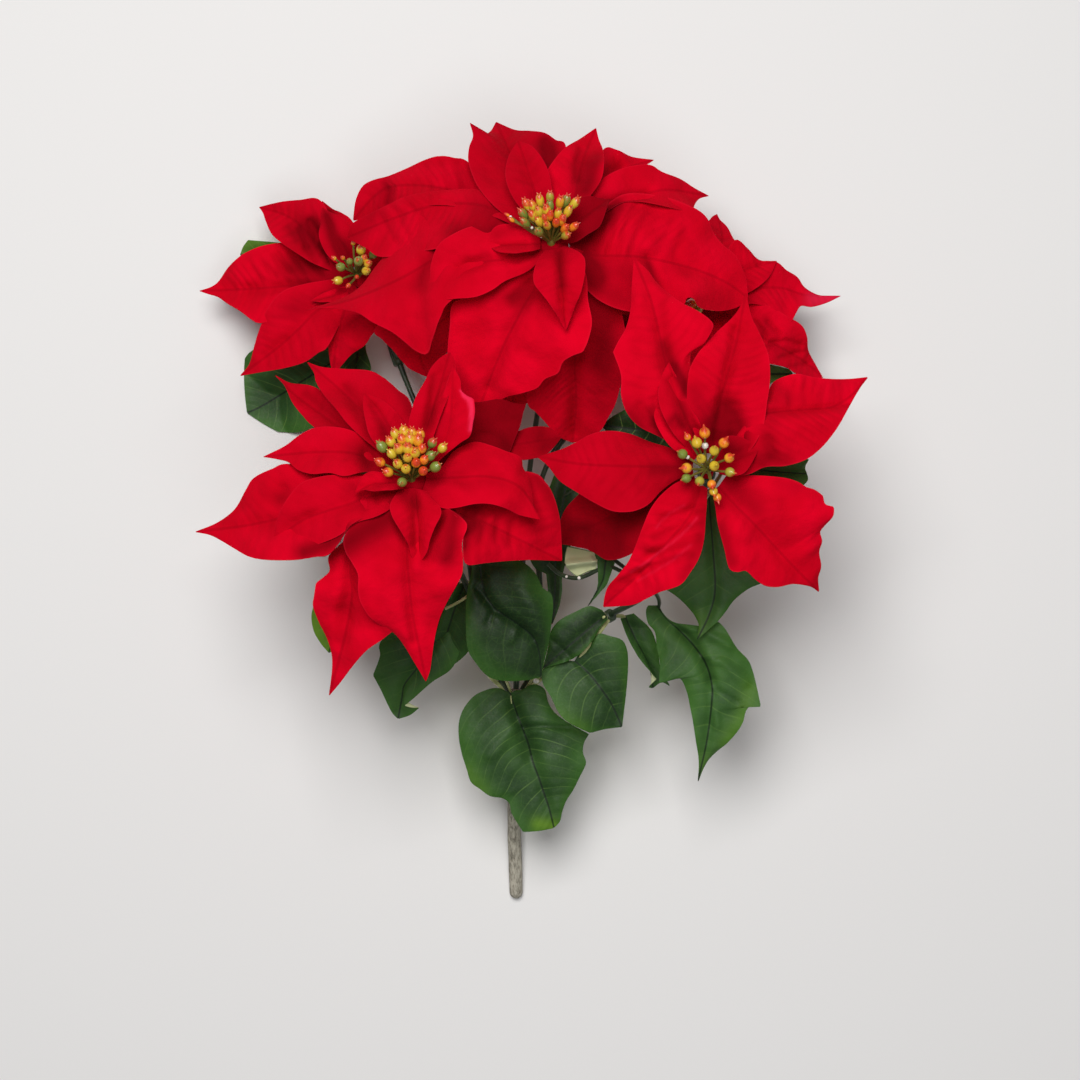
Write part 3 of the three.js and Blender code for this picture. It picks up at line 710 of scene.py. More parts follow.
tube_tree, tube_in, tube_out = new_geometry_tree(
    "tube_along_path", {"Sides": "NodeSocketInt", "Material": "NodeSocketMaterial"}
)
path = add_node(tube_tree, "GeometryNodeMeshToCurve", Mesh=tube_in.outputs["Geometry"])
ring = add_node(tube_tree, "GeometryNodeCurvePrimitiveCircle", Resolution=tube_in.outputs["Sides"], Radius=1.0)
thickness = add_node(tube_tree, "GeometryNodeInputNamedAttribute", {"data_type": "FLOAT"}, Name="thickness")
swept = add_node(
    tube_tree, "GeometryNodeCurveToMesh", Curve=path.outputs[0], Profile_Curve=ring.outputs[0],
    Scale=thickness.outputs[0], Fill_Caps=True,
)
smooth = add_node(tube_tree, "GeometryNodeSetShadeSmooth", _0=swept.outputs[0], Shade_Smooth=True)
real = add_node(tube_tree, "GeometryNodeRealizeInstances", _0=smooth.outputs[0])
painted = add_node(tube_tree, "GeometryNodeSetMaterial", _0=real.outputs[0], Material=tube_in.outputs["Material"])
tube_tree.links.new(painted.outputs[0], tube_out.inputs[0])


def run_tree(name, mesh, tree, **inputs):
    """Runs a Geometry Nodes tree on a mesh and returns the plain result."""
    carrier = bpy.data.objects.new(name, mesh)
    scene.collection.objects.link(carrier)
    modifier = carrier.modifiers.new("tree", "NODES")
    modifier.node_group = tree
    for item in tree.interface.items_tree:
        key = item.name.replace(" ", "_") if item.in_out == "INPUT" else None
        if key in inputs:
            modifier[item.identifier] = inputs[key]
    graph = bpy.context.evaluated_depsgraph_get()
    graph.update()
    result = bpy.data.meshes.new_from_object(carrier.evaluated_get(graph), depsgraph=graph)
    bpy.data.objects.remove(carrier)
    bpy.data.meshes.remove(mesh)
    return result


def tubes(name, paths, sides, material):
    """Tubes along several paths. Each path has its points in millimetres and their radii."""
    mesh = bpy.data.meshes.new(name)
    points, edges, radii = [], [], []
    for track, thick in paths:
        offset = len(points)
        points.extend(((np.asarray(track) - MIDDLE) * MM).tolist())
        edges.extend([(offset + step, offset + step + 1) for step in range(len(track) - 1)])
        radii.extend(np.broadcast_to(thick, len(track)) * MM)
    mesh.from_pydata(points, edges, [])
    attribute = mesh.attributes.new("thickness", "FLOAT", "POINT")
    attribute.data.foreach_set("value", np.array(radii, np.float32))
    return run_tree(name, mesh, tube_tree, Sides=sides, Material=material)


def join_meshes(name, meshes):
    """One object from several finished meshes."""
    objects = [bpy.data.objects.new(name, mesh) for mesh in meshes]
    for item in objects:
        scene.collection.objects.link(item)
    with bpy.context.temp_override(active_object=objects[0], selected_editable_objects=objects):
        bpy.ops.object.join()
    objects[0].name = name
    return objects[0]


print("tube tree", tube_tree.name)

# %% [markdown]
# ## Where everything grows
#
# The tables repeat the part's own sizes, in millimetres in the bush's frame: for each bloom its hub, the
# way it faces, the route of its wire, its bracts and the middle of its bunch of berries, and for each leaf
# set its collar and leaves. A bract's tip is measured from its hub.

# %% Tables of the blooms and leaves
TRUNK_RADIUS = 4.0
TRUNK_ROUTE = [[-14, -206, 2.2], [-15, -165, 10], [-15, -128, 26], [-14, -93, 42]]
TRUNK_STEPS = 9
CROWN = np.array([-14.0, -93.0, 42.0])
CROWN_RADIUS = 8.5
SOCKET_REACH = 6.5
WIRE_RADIUS = 1.6
WIRE_STEPS = 12
HUB_HALF_HEIGHT = 6.0
GAP = 0.3
BUNCH_HEIGHT = 22.0
BUNCH_FALL = 0.5
COLLAR_RADIUS = 3.6
COLLAR_LENGTH = 4.0
PETIOLE_RADIUS = 1.1
PETIOLE_LANDING = 0.04


def bract(tip, width, bow, fold=0.1, sweep=0, level=0, teeth=()):
    """One bract of a bloom."""
    return {"tip": tip, "width": width, "bow": bow, "fold": fold, "sweep": sweep, "level": level, "teeth": teeth}


BLOOMS = {
    "a": {
        "hub": (6, 160, 128), "facing": (0, 0.5, 0.87),
        "route": [(-12, -48, 48), (-6, 38, 56), (2, 96, 66), (6, 140, 94)],
        "bracts": [
            bract((-134, -37, -38), 78, 12, -0.1, sweep=-5),
            bract((-114, 5, -50), 46, 12, 0.15, level=-2),
            bract((-111, 33, -62), 68, 8, sweep=9, level=-3),
            bract((-32, 76, -60), 56, 8, 0.2, level=-2, teeth=[(0.82, -1, 11)]),
            bract((-18, 59, -22), 28, 7, 0.25),
            bract((25, 66, -46), 36, 8, 0.25, sweep=-3),
            bract((57, 55, -70), 42, 8, level=-3),
            bract((86, 29, -45), 36, 10, 0.3, sweep=-8),
            bract((110, -32, -44), 58, 12, sweep=-8, level=-2),
            bract((52, -62, -64), 46, 8, level=-3),
            bract((45, -44, -36), 24, 6, 0.3),
            bract((14, -108, -50), 62, 10, level=-2),
            bract((-8, -112, -58), 46, 8, level=-3),
            bract((-72, -64, -62), 44, 8, level=-3),
            bract((-40, -92, -20), 70, 12, 0.12),
            bract((-69, -34, 0), 40, 14, -0.2, sweep=4, level=2),
            bract((8, -49, 10), 27, 5, 0.5, level=2),
            bract((-36, -2, 0), 27, 3, 0.2, level=1),
            bract((32, 24, -6), 24, 2, 0.2, level=1),
        ],
        "bunch": (-1, 11),
    },
    "b": {
        "hub": (-103, 150, 55), "facing": (-0.25, 0.35, 0.9),
        "route": [(-31, -64, 34), (-48, 25, 36), (-73, 82, 38), (-92, 130, 36)],
        "bracts": [
            bract((-92, -9, -32), 46, 9, 0.15),
            bract((-58, 39, -26), 34, 7, 0.15),
            bract((-18, 42, -24), 28, 6, level=-2),
            bract((-66, -57, -26), 38, 7, 0.15),
            bract((-14, -57, -14), 34, 6, sweep=-4),
            bract((-28, -14, 6), 18, 4, 0.3, level=2),
            bract((-20, 38, -8), 20, 5, 0.2, level=2),
            bract((38, -14, -28), 28, 6),
            bract((30, 34, -34), 28, 6, level=-2),
        ],
        "bunch": (0, 6),
    },
    "c": {
        "hub": (-68, 32, 155), "facing": (0, 0.5, 0.87),
        "route": [(-28, -68, 66), (-42, -22, 94), (-62, 6, 116), (-68, 16, 127)],
        "bracts": [
            bract((-44, -116, -22), 52, 12, teeth=[(0.5, 1, 6)]),
            bract((8, -106, -8), 52, 12),
            bract((-117, -29, -34), 58, 12, 0.15, sweep=-5, level=-2),
            bract((-74, -36, -8), 36, 10, 0.2),
            bract((-80, 13, -22), 34, 8, sweep=3),
            bract((-77, 59, -52), 30, 6, level=-3),
            bract((-59, 64, -38), 38, 6, sweep=5, level=-2),
            bract((-27, 48, -10), 28, 5, 0.2),
            bract((22, 68, -14), 34, 6, 0.2),
            bract((26, 47, 0), 22, 2, 0.3, level=1),
            bract((69, -22, 0), 44, 10, -0.15, sweep=-6),
            bract((81, -44, -28), 56, 10, sweep=4, level=-2),
            bract((4, -41, 10), 28, 5, 0.6, level=2),
            bract((-31, -7, 6), 20, 2, 0.3, level=1),
            bract((60, 42, -36), 46, 6, level=-2),
            bract((80, 19, -40), 44, 7, sweep=-4, level=-3),
        ],
        "bunch": (0, 13),
    },
    "d": {
        "hub": (88, 37, 165), "facing": (0, 0.3, 0.95),
        "route": [(10, -66, 58), (37, -43, 80), (60, -28, 104), (88, 26, 132)],
        "bracts": [
            bract((-87, 6, -24), 48, 10, -0.15),
            bract((-55, -72, -6), 42, 12, 0.2, sweep=-7),
            bract((58, -64, -14), 58, 14, sweep=-6, teeth=[(0.66, -1, 5)]),
            bract((87, 50, -28), 48, 12),
            bract((28, 12, 2), 22, 2, 0.4, level=2),
            bract((22, 95, -24), 44, 12, 0.2),
            bract((-39, 113, -20), 56, 12, sweep=-4, level=-2),
            bract((-24, 57, 0), 30, 6, 0.2),
            bract((-28, 33, 2), 18, 2, 0.3, level=2),
            bract((-76, -36, -58), 42, 8, level=-3),
        ],
        "bunch": (0, 6),
    },
    "e": {
        "hub": (97, 131, 60), "facing": (0.2, 0.3, 0.93),
        "route": [(0, -66, 32), (2, 38, 40), (40, 84, 36), (90, 122, 36)],
        "bracts": [
            bract((73, 8, -16), 36, 8, 0.2),
            bract((64, -38, -24), 36, 8, 0.15),
            bract((4, 55, -24), 32, 6, level=-2),
            bract((34, 32, -10), 30, 6, 0.2),
            bract((-40, -10, -30), 26, 6, level=-2),
            bract((-8, -50, -28), 30, 6),
            bract((-30, 38, -30), 28, 6, level=-2),
        ],
        "bunch": (-3, 3),
    },
}


def leaf(base, tip, width, bow, sweep=0, teeth=(), under=False):
    """One leaf of a set. Its tip is measured from its base."""
    return {
        "base": base, "tip": tip, "width": width, "bow": bow, "fold": 0.1, "sweep": sweep, "teeth": teeth,
        "under": under,
    }


LEAF_SETS = {
    "leaves_1": ("trunk", 7, [
        leaf((-18, -86, 56), (25, -79, -6), 70, 6),
        leaf((-18, -104, 16), (14, -52, -10), 38, 5),
    ]),
    "leaves_2": ("c", 4, [
        leaf((-36, -26, 108), (38, -46, -14), 58, 8),
        leaf((-42, -36, 88), (-22, -50, -30), 40, 6),
        leaf((-48, -38, 78), (-32, -60, -14), 48, 6, sweep=8),
    ]),
    "leaves_3": ("c", 8, [
        leaf((-88, 2, 100), (-28, -62, -20), 42, 6, sweep=7),
        leaf((-80, 18, 90), (-60, 10, -40), 40, 6),
    ]),
    "leaves_4": ("d", 4, [
        leaf((22, -68, 84), (24, -37, -4), 44, 4),
        leaf((34, -44, 90), (-30, -30, -6), 32, 4),
        leaf((46, -42, 68), (18, -42, -12), 26, 4),
    ]),
    "leaves_5": ("d", 6, [
        leaf((62, -34, 82), (26, -98, -10), 46, 10, sweep=-15, teeth=[(0.4, 1, 9), (0.58, -1, 6)]),
        leaf((32, -14, 92), (-20, 2, -6), 18, 2, under=True),
        leaf((44, -10, 96), (-12, -26, -8), 18, 2),
    ]),
    "leaves_6": ("d", 9, [
        leaf((92, 10, 98), (-8, -62, -4), 38, 6, teeth=[(0.45, 1, 9), (0.55, -1, 13)]),
        leaf((100, 44, 118), (42, -12, -14), 24, 4),
    ]),
    "leaves_7": ("a", 4, [
        leaf((18, 52, 60), (-8, -42, 4), 26, 3),
        leaf((70, 60, 78), (-36, 4, 0), 26, 3),
    ]),
    "leaves_8": ("a", 7, [
        leaf((-10, 106, 40), (-44, 44, -50), 44, 6),
        leaf((14, 114, 40), (24, 66, -50), 44, 6),
    ]),
    "leaves_9": ("b", 9, [
        leaf((-104, 112, 22), (-64, -48, -34), 60, 6),
        leaf((-94, 110, 26), (-2, -32, -4), 26, 3),
        leaf((-122, 162, 14), (-50, 9, -8), 24, 3),
    ]),
    "leaves_10": ("e", 9, [
        leaf((104, 92, 40), (38, -2, -8), 26, 3),
        leaf((104, 120, 20), (56, 30, -30), 40, 5),
        leaf((86, 96, 26), (-10, -56, -14), 36, 5),
    ]),
}
print("bracts", sum(len(bloom["bracts"]) for bloom in BLOOMS.values()))

# %% [markdown]
# ## Outlines read from the photograph
#
# Cut fabric never follows a formula: tips bend, margins wave and some bracts have a tooth. So for the
# blades that show in the photograph, the midrib and both margins were read off as picture points, from
# the base to the tip. A row starts with the blade's name and its midrib. Then come its left and its
# right margin as seen from the base, each after a bar, and both end at the midrib's last point. An
# exclamation mark makes a sharp corner. Heights still come from the blade's rule.

# %% Outlines of the bracts
BRACT_OUTLINES = """
a0: 548,245 500,225 450,250 400,279 350,300 304,311
| 548,250 500,275 452,300 440,318 432,340 427,354 416,351 405,342 392,332 372,322 358,313 340,309 320,308
| 548,240 505,222 488,198 470,192 448,197 428,206 412,219 400,233 391,247 382,259 374,269 364,283 352,293
335,301
a1: 548,242 490,208 440,205 395,218 347,238
| 548,246 490,240 430,250 383,257 366,248
| 548,238 500,203 478,190 440,191 408,196 388,205 370,214 352,224
a2: 548,240 500,205 440,188 395,186 375,196 353,221
| 548,243 490,215 440,205 390,212
| 548,236 500,190 468,162 455,158 440,156 425,160 408,168 389,176 374,180 363,186 356,200
a3: 550,236 530,200 515,165 496,122
| 546,238 505,215 480,190 469,165 469,148 473,136 470,123! 476,130 485,134 491,131
| 556,234 562,190 566,147 556,140 545,133 530,131 515,130
a4: 551,235 536,195 518,141
| 548,236 518,205 506,180 508,158
| 555,234 553,200 548,170 534,148
a5: 560,235 574,200 578,180 585,155 596,128
| 554,234 548,205 544,180 552,163 565,148 580,139
| 566,236 584,205 600,182 604,165 603,150 599,140
a6: 562,238 590,200 620,172 654,160
| 560,234 590,185 603,150 617,150 632,157
| 566,242 600,215 620,190 640,170
a7: 563,240 585,215 605,202 630,198 665,190 709,196
| 560,236 576,198 590,190 596,187 604,178 616,171 632,166 650,165 662,172 680,179 694,188
| 566,243 585,231 600,217 612,208 625,202 645,202 672,208 693,213! 694,206 699,199
a8: 565,243 590,255 640,257 690,268 725,282 748,298
| 555,236 578,226 600,210 625,194 660,196 690,206 706,217 714,234 724,246 734,254 741,266 746,280
| 555,249 575,276 600,301 632,312 665,308 683,305 687,298 694,299 700,308 718,311 732,309 741,305
a10: 562,246 585,275 610,295 632,316
| 566,244 605,262 622,285
| 558,248 575,275 592,298 612,310
a11: 555,250 572,300 575,370 576,400 573,443
| 560,250 610,290 625,330 622,375 616,402 608,418 600,431 586,438
| 550,250 540,300 530,350 527,400 536,412 545,422 558,436
a12: 548,250 530,310 520,370 512,405 514,431
| 553,250 545,330 538,380 528,402 515,408 517,420
| 544,250 505,310 495,365 500,408 504,421
a13: 546,250 490,282 445,318 420,345 427,377
| 549,253 500,290 465,325 452,347 440,359 432,367
| 543,248 480,272 425,295 376,327 383,340 392,349 401,360 410,369
a14: 549,248 536,286 524,306 513,327 504,345 499,357 493,371 488,385 478,413
| 556,249 584,270 588,300 592,322 588,341 583,352! 572,356 563,362 558,373 545,379 537,388 522,393 508,396!
494,403
| 544,250 500,275 465,297 452,305 450,325 448,345 448,362 452,378 459,392 468,404
a15: 546,244 515,258 485,262 455,272 424,303
| 548,249 535,265 524,273 505,281 492,290 475,297 452,299
| 546,240 520,228 495,223 470,227 450,236 438,246 431,265 430,282
a16: 552,244 558,253 560,270 562,290 566,331
| 556,244 573,249 584,257 585,272 581,292 575,306 570,320
| 550,245 540,257 534,270 534,283 541,293 549,303 558,317
a17: 547,243 525,244 505,245 486,246
| 547,247 532,251 515,253 500,252
| 546,238 530,227 512,224 497,226 490,234
b0: 359,279 320,286 290,286 250,289 199,291
| 360,289 320,303 290,316 262,323 252,320 240,311 228,304 218,297 208,294
| 357,271 325,256 300,244 280,243 262,246 247,252 238,258 228,268 219,281 211,287
b1: 358,274 325,250 305,230 287,216 259,207
| 354,280 315,264 295,252 279,241 271,233 266,222 263,213
| 353,268 338,240 330,215 318,199 300,200 280,202
b2: 353,268 342,240 332,220 322,201
| 349,268 332,245 322,228 319,214
| 358,265 360,240 352,221 342,213 333,209
b3: 359,280 318,310 300,328 275,350 240,376
| 364,287 345,315 328,346 318,353 305,362 285,368 262,372
| 353,276 305,284 282,292 268,308 262,323 257,337 253,352 249,365
b4: 354,290 344,312 338,335 335,355 333,376
| 359,290 374,312 378,326 371,336 365,345 352,354 343,364
| 350,290 335,302 329,318 328,340 330,360
b5: 353,288 338,294 325,298 310,301
| 354,292 343,299 330,302
| 352,284 335,289 322,294
c0: 405,488 375,525 352,560 352,600 343,645 329,696
| 409,492 396,530 384,570 378,605 393,631! 380,641 366,651 352,667 340,683
| 400,486 370,513 345,540 329,556 330,570 324,577 316,583! 314,596 313,606 319,622 327,638 332,655 332,672
c1: 412,490 407,545 409,580 412,610 418,642 426,682
| 417,490 445,506 464,520 467,528 462,542 463,560 462,574 456,586 448,600 440,617 435,636 432,656 430,670
| 407,490 380,506 356,520 344,537 345,551 352,563 358,575 358,590 361,603 372,619 393,632 404,645 413,660
c2: 402,484 350,498 300,513 250,525 195,532
| 404,490 386,508 366,517 350,526 339,543 328,555 315,557 295,560 268,560 250,557 235,549 222,541 210,535
| 400,478 345,472 290,464 272,469 254,478 246,490 238,505 230,514 215,524
c3: 410,484 370,497 340,507 310,517 290,529 274,546
| 412,492 392,508 375,517 356,523 340,535 322,543 303,548
| 408,476 360,476 335,475 315,478 300,484 288,498 280,512 275,529
c4: 410,476 360,455 320,452 263,457
| 410,482 370,472 345,476 330,473 312,474 298,470 288,462 276,459
| 402,466 375,444 355,432 335,427 315,428 300,435 285,446
c5: 402,470 350,435 320,414 295,395 275,375
| 398,474 350,452 314,427 303,416 292,402 285,386
| 405,466 370,432 345,412 328,396 312,386 290,383
c6: 405,466 375,425 340,390 307,362
| 402,470 365,440 348,424 336,409 324,395 316,382 314,373
| 410,462 414,425 410,401 398,390 385,379 370,371 345,369 322,367
c7: 408,468 396,440 382,415 364,393
| 403,470 383,452 370,436 365,418 363,404
| 413,466 410,440 400,418 385,402
c8: 413,468 424,435 434,405 442,380 450,352
| 410,466 408,430 413,405 418,393 425,381 431,368 440,358
| 418,468 432,440 441,415 449,395 455,378 455,362
c9: 416,474 438,450 450,425 453,366
| 412,470 428,445 436,425 440,405 446,386
| 420,478 442,458 460,443 470,436 473,422 475,411 474,399! 467,396 461,391! 460,379
c10: 418,481 450,478 490,477 520,488 541,520
| 416,477 440,468 452,453 463,446 476,442 492,446 505,451 520,457 523,468 529,480 532,495 535,510
| 418,486 428,500 442,508 455,508 475,504 490,504 505,508 520,515
c11: 418,484 450,508 485,523 520,540 562,561
| 422,480 470,468 530,472 546,483 554,497 559,515 561,532
| 416,488 440,504 461,521 464,530 463,545 466,564 485,563 505,561 530,560
c12: 414,480 417,510 419,535 418,566
| 421,484 432,499 440,507 441,515 435,527 430,540 427,552
| 406,482 396,494 390,505 392,516 400,530 408,544 411,555
c13: 410,481 385,483 370,485 355,494
| 411,488 390,490 375,491 363,490
| 408,474 382,472 370,472 361,478
c15: 422,478 470,452 520,444 561,438
| 418,474 450,450 488,437 512,433 532,427 550,428
| 426,482 480,465 530,459 545,455 554,447
d0: 700,469 660,467 620,466 580,464 537,457
| 702,474 680,478 662,490 650,503 640,509 628,512 612,511 595,503 575,491 560,481 548,466
| 700,464 672,449 650,442 630,434 610,431 592,434 575,443 560,450
d1: 704,478 690,515 665,545 635,578 603,607
| 708,480 706,515 704,540 699,558 690,573 680,585 660,592 650,597 635,604 620,606
| 699,478 678,482 662,494 651,508 644,524 636,545 628,562 618,575 609,585 605,595
d2: 714,481 735,505 755,525 776,548 797,570 819,592
| 718,472 742,475 765,476 785,478 798,482 806,487 815,490 823,496! 825,504 834,507! 833,516 825,525 820,532
822,541 819,552 821,566 818,578
| 710,484 715,505 718,525 724,548 729,568 737,572 746,571 756,580 766,586 778,587 792,584 804,585 812,587
d3: 716,467 745,425 765,414 800,410 832,407 852,395 868,377
| 714,462 745,425 766,395 775,381 795,374 812,377 830,379 850,379
| 718,472 745,475 765,467 785,466 805,460 820,449 833,434 842,420 850,405 858,391
d5: 711,460 717,415 725,385 731,362 737,340 746,292
| 707,460 695,435 686,403 687,385 690,368 697,355 706,344 718,331 730,320 739,309
| 715,460 745,455 762,430 767,402 770,380 769,358 764,343 757,328 751,315
d6: 704,460 685,420 668,372 660,338 650,298 634,258
| 699,464 665,440 640,427 627,413 621,395 621,375 613,352! 618,342 626,328 631,308 632,285
| 708,460 698,410 690,357 704,343 713,327 709,319 696,310 680,302 664,290 655,281 648,271
d7: 705,458 689,425 677,395 669,362
| 700,460 677,438 663,415 658,395 662,376
| 709,458 701,425 689,405 681,387 674,372
d8: 702,462 682,440 667,422 656,407
| 698,465 672,448 659,430 654,416
| 706,458 690,435 673,418
d9: 700,474 660,490 620,512 585,530 558,544
| 702,480 670,520 640,548 622,558 608,560 601,557 595,553 586,549 576,547 567,545
| 698,468 650,470 610,478 585,490 573,500 565,510 560,522 557,535
e0: 720,304 750,290 780,288 806,295 841,296
| 716,300 738,272 758,262 776,262 786,270 797,277 804,287 815,294 828,298
| 720,308 755,304 778,314 790,322 796,313 801,306 812,307 826,303
e1: 719,310 755,333 785,350 806,363 823,378
| 720,302 760,303 790,318 802,326 807,337 808,350 815,364
| 715,314 735,338 760,360 785,367 797,374 810,378
e5: 718,304 712,325 706,350 700,385
| 744,303 736,325 726,350
| 697,306 684,325 682,350 689,370
e2: 713,300 718,265 722,238 717,214
| 708,300 700,262 703,232 711,218
| 718,300 740,272 740,250 733,238 727,227 720,220
e3: 718,302 740,274 757,266 777,261
| 714,299 722,262 735,240 748,249 759,260
| 721,305 750,292 768,278
"""

# %% [markdown]
# The leaves are read off in the same way. A label gives the set and the leaf's place in it. The readers
# below turn the rows of both tables into points.

# %% Outlines of the leaves
LEAF_OUTLINES = """
leaves_1-0: 509,690 514,705 520,722 528,743 533,762 539,778 544,793 549,808 554,828
| 512,690 522,690 530,685 538,685 545,690 548,702 554,712 564,720 576,727 589,734! 584,743 583,753 586,763
580,776 573,790 566,801 562,812 560,821
| 506,690 496,688 486,690 474,696 464,708 459,722 459,738 462,754 467,770 471,782 480,789 490,796 502,798
509,803 512,814 523,832! 538,831
leaves_2-0: 479,560 484,590 495,608 515,622 532,636 539,652 541,677
| 490,555 507,557 524,563 535,573 543,588 551,594 553,606 551,625 548,645 544,662
| 473,558 471,574 468,588 466,605 466,630 468,650 475,662 484,673 494,679 510,681 527,680
leaves_2-1: 466,580 456,605 448,630 440,655 429,683
| 474,584 476,604 472,622 471,640 467,653 452,666 438,676
| 460,582 450,598 443,612 436,635 432,660
leaves_2-2: 462,580 448,615 433,645 417,668 405,684 402,698 398,719
| 466,579 471,605 468,630 462,645 452,668 432,682 414,698 404,706! 412,708 419,708! 410,715
| 458,578 440,594 420,602 396,624 380,643 380,656 373,675! 381,690 391,711
leaves_3-0: 380,540 347,590 329,653
| 388,545 368,600 350,640
| 372,535 330,580 313,608 313,628 320,642
leaves_4-0: 573,660 583,668 592,677 602,690 612,705 622,727
| 576,657 588,646 598,634 610,636 622,640 627,650 628,664 627,682 625,702
| 570,661 558,661 548,665 542,672 543,684 551,697 557,710 565,720 577,727 590,733! 605,729
leaves_4-1: 608,614 590,628 570,645 543,668
| 609,618 600,628 592,641 580,654 565,662
| 604,611 590,606 575,612 560,620 551,631 548,648
leaves_4-2: 624,614 636,640 648,663 653,688
| 632,612 651,630 658,652 661,670 670,686! 662,682
| 620,617 627,636 637,655 648,669 657,679! 649,687
leaves_5-0: 655,602 665,617 680,631 694,646 705,662 711,680 712,700 707,740 698,782
| 657,598 662,612 673,622 690,625 706,626 718,621! 726,630 736,647 748,660 753,672 757,688 761,707! 752,705
746,711 743,722 737,732 727,743 717,751 709,759 703,769
| 651,602 646,610 648,623 655,632 657,648 660,662 659,683! 667,681 673,678 681,679 687,692 690,706 693,722
696,742 699,762
leaves_5-1: 598,560 588,562 577,563 565,565
| 594,552! 586,550 577,548 567,546! 565,555
| 597,569! 590,571 583,574 577,577! 570,571
leaves_5-2: 607,552 605,566 602,582 588,606
| 616,553 615,562 611,573 607,584 602,590! 595,598
| 594,552 597,562 598,572 598,583 597,590! 592,599
leaves_6-0: 708,486 713,550 715,590 709,615 697,640
| 716,484 726,540 744,568 762,583! 748,589 734,600 726,611 718,621 708,630
| 700,488 694,545 680,573 662,587! 676,596 687,606 695,616 699,626
leaves_6-1: 724,463 760,470 807,474
| 728,456 765,455 795,457 809,459! 805,467
| 724,470 752,481 785,486 803,486! 808,480
leaves_10-0: 728,374 750,374 772,374 793,374
| 728,366 750,360 772,365 788,369
| 728,384 750,390 771,383
leaves_10-1: 722,332 755,316 790,300
| 722,325 745,300 768,286 780,288
| 722,338 752,330 774,310
leaves_7-0: 572,448 562,510 556,560 555,590 552,625
| 578,450 580,500 572,540 566,561 562,578 562,590 560,604 555,618
| 564,450 545,500 532,540 530,558 536,569 546,573! 548,590 549,606
leaves_9-0: 360,346 320,370 285,392 262,406 247,413
| 363,354 350,375 332,402 316,424 300,432 278,432! 262,423
| 356,341 320,334 282,335 253,350 245,358! 244,376 245,396
leaves_9-1: 358,325 358,350 353,385
| 364,328 366,350 371,369 363,381
| 350,328 340,350 341,372
leaves_9-2: 330,262 290,256 262,253 240,255
| 330,274 292,276 260,268 247,261
| 326,250 300,245 272,242 248,240! 243,247
"""


def read_table(text):
    """The text that follows each name in a table. A name ends with a colon."""
    table = {}
    for word in text.split():
        if word.endswith(":"):
            name = word[:-1]
        else:
            table[name] = f"{table[name]} {word}" if name in table else word
    return table


def read_points(text):
    """A line of picture points, with a corner point given twice."""
    line = []
    for word in text.split():
        point = np.array([float(value) for value in word.rstrip("!").split(",")])
        line.extend([point, point] if word.endswith("!") else [point])
    return line


def read_outline(name):
    """The midrib and both margins of a blade, if they were read off."""
    if name not in OUTLINES:
        return {}
    rib, left, right = [read_points(part) for part in OUTLINES[name].split("|")]
    return {"rib": rib, "left": left + rib[-1:], "right": right + rib[-1:]}


OUTLINES = {**read_table(BRACT_OUTLINES), **read_table(LEAF_OUTLINES)}
print("outlines", len(OUTLINES))

# %% [markdown]
# ## Creases and finishes
#
# No two bracts left the box alike. Some kept the pleats of the press, others are smooth as cloth, and each
# has creases where it was bent. A crease gives its depth, its half width and its line in the picture, with
# a slash before the next one, and a ridge has a negative depth. Each sunken crease also gets a little painted
# shadow. A shade is a line of painted shade, for a shadow under an overlapping bract, in a fold or in a
# recess. A blush is a line painted paler or pinker: the real pink of a curled edge or a yellow-green patch on
# a leaf, and on one bloom a painted highlight along fold ridges. A raise says by how many millimetres a bract
# was lifted or pressed down away from its hub. The finishes say where a blade differs from the usual one: how
# strong and how close its veins are, which half has them, its tone, and how much painted shade darkens it all
# over, which dims bracts that lie in shade. On two leaves a blush in the finishes is painted light on a leaf
# in shade.

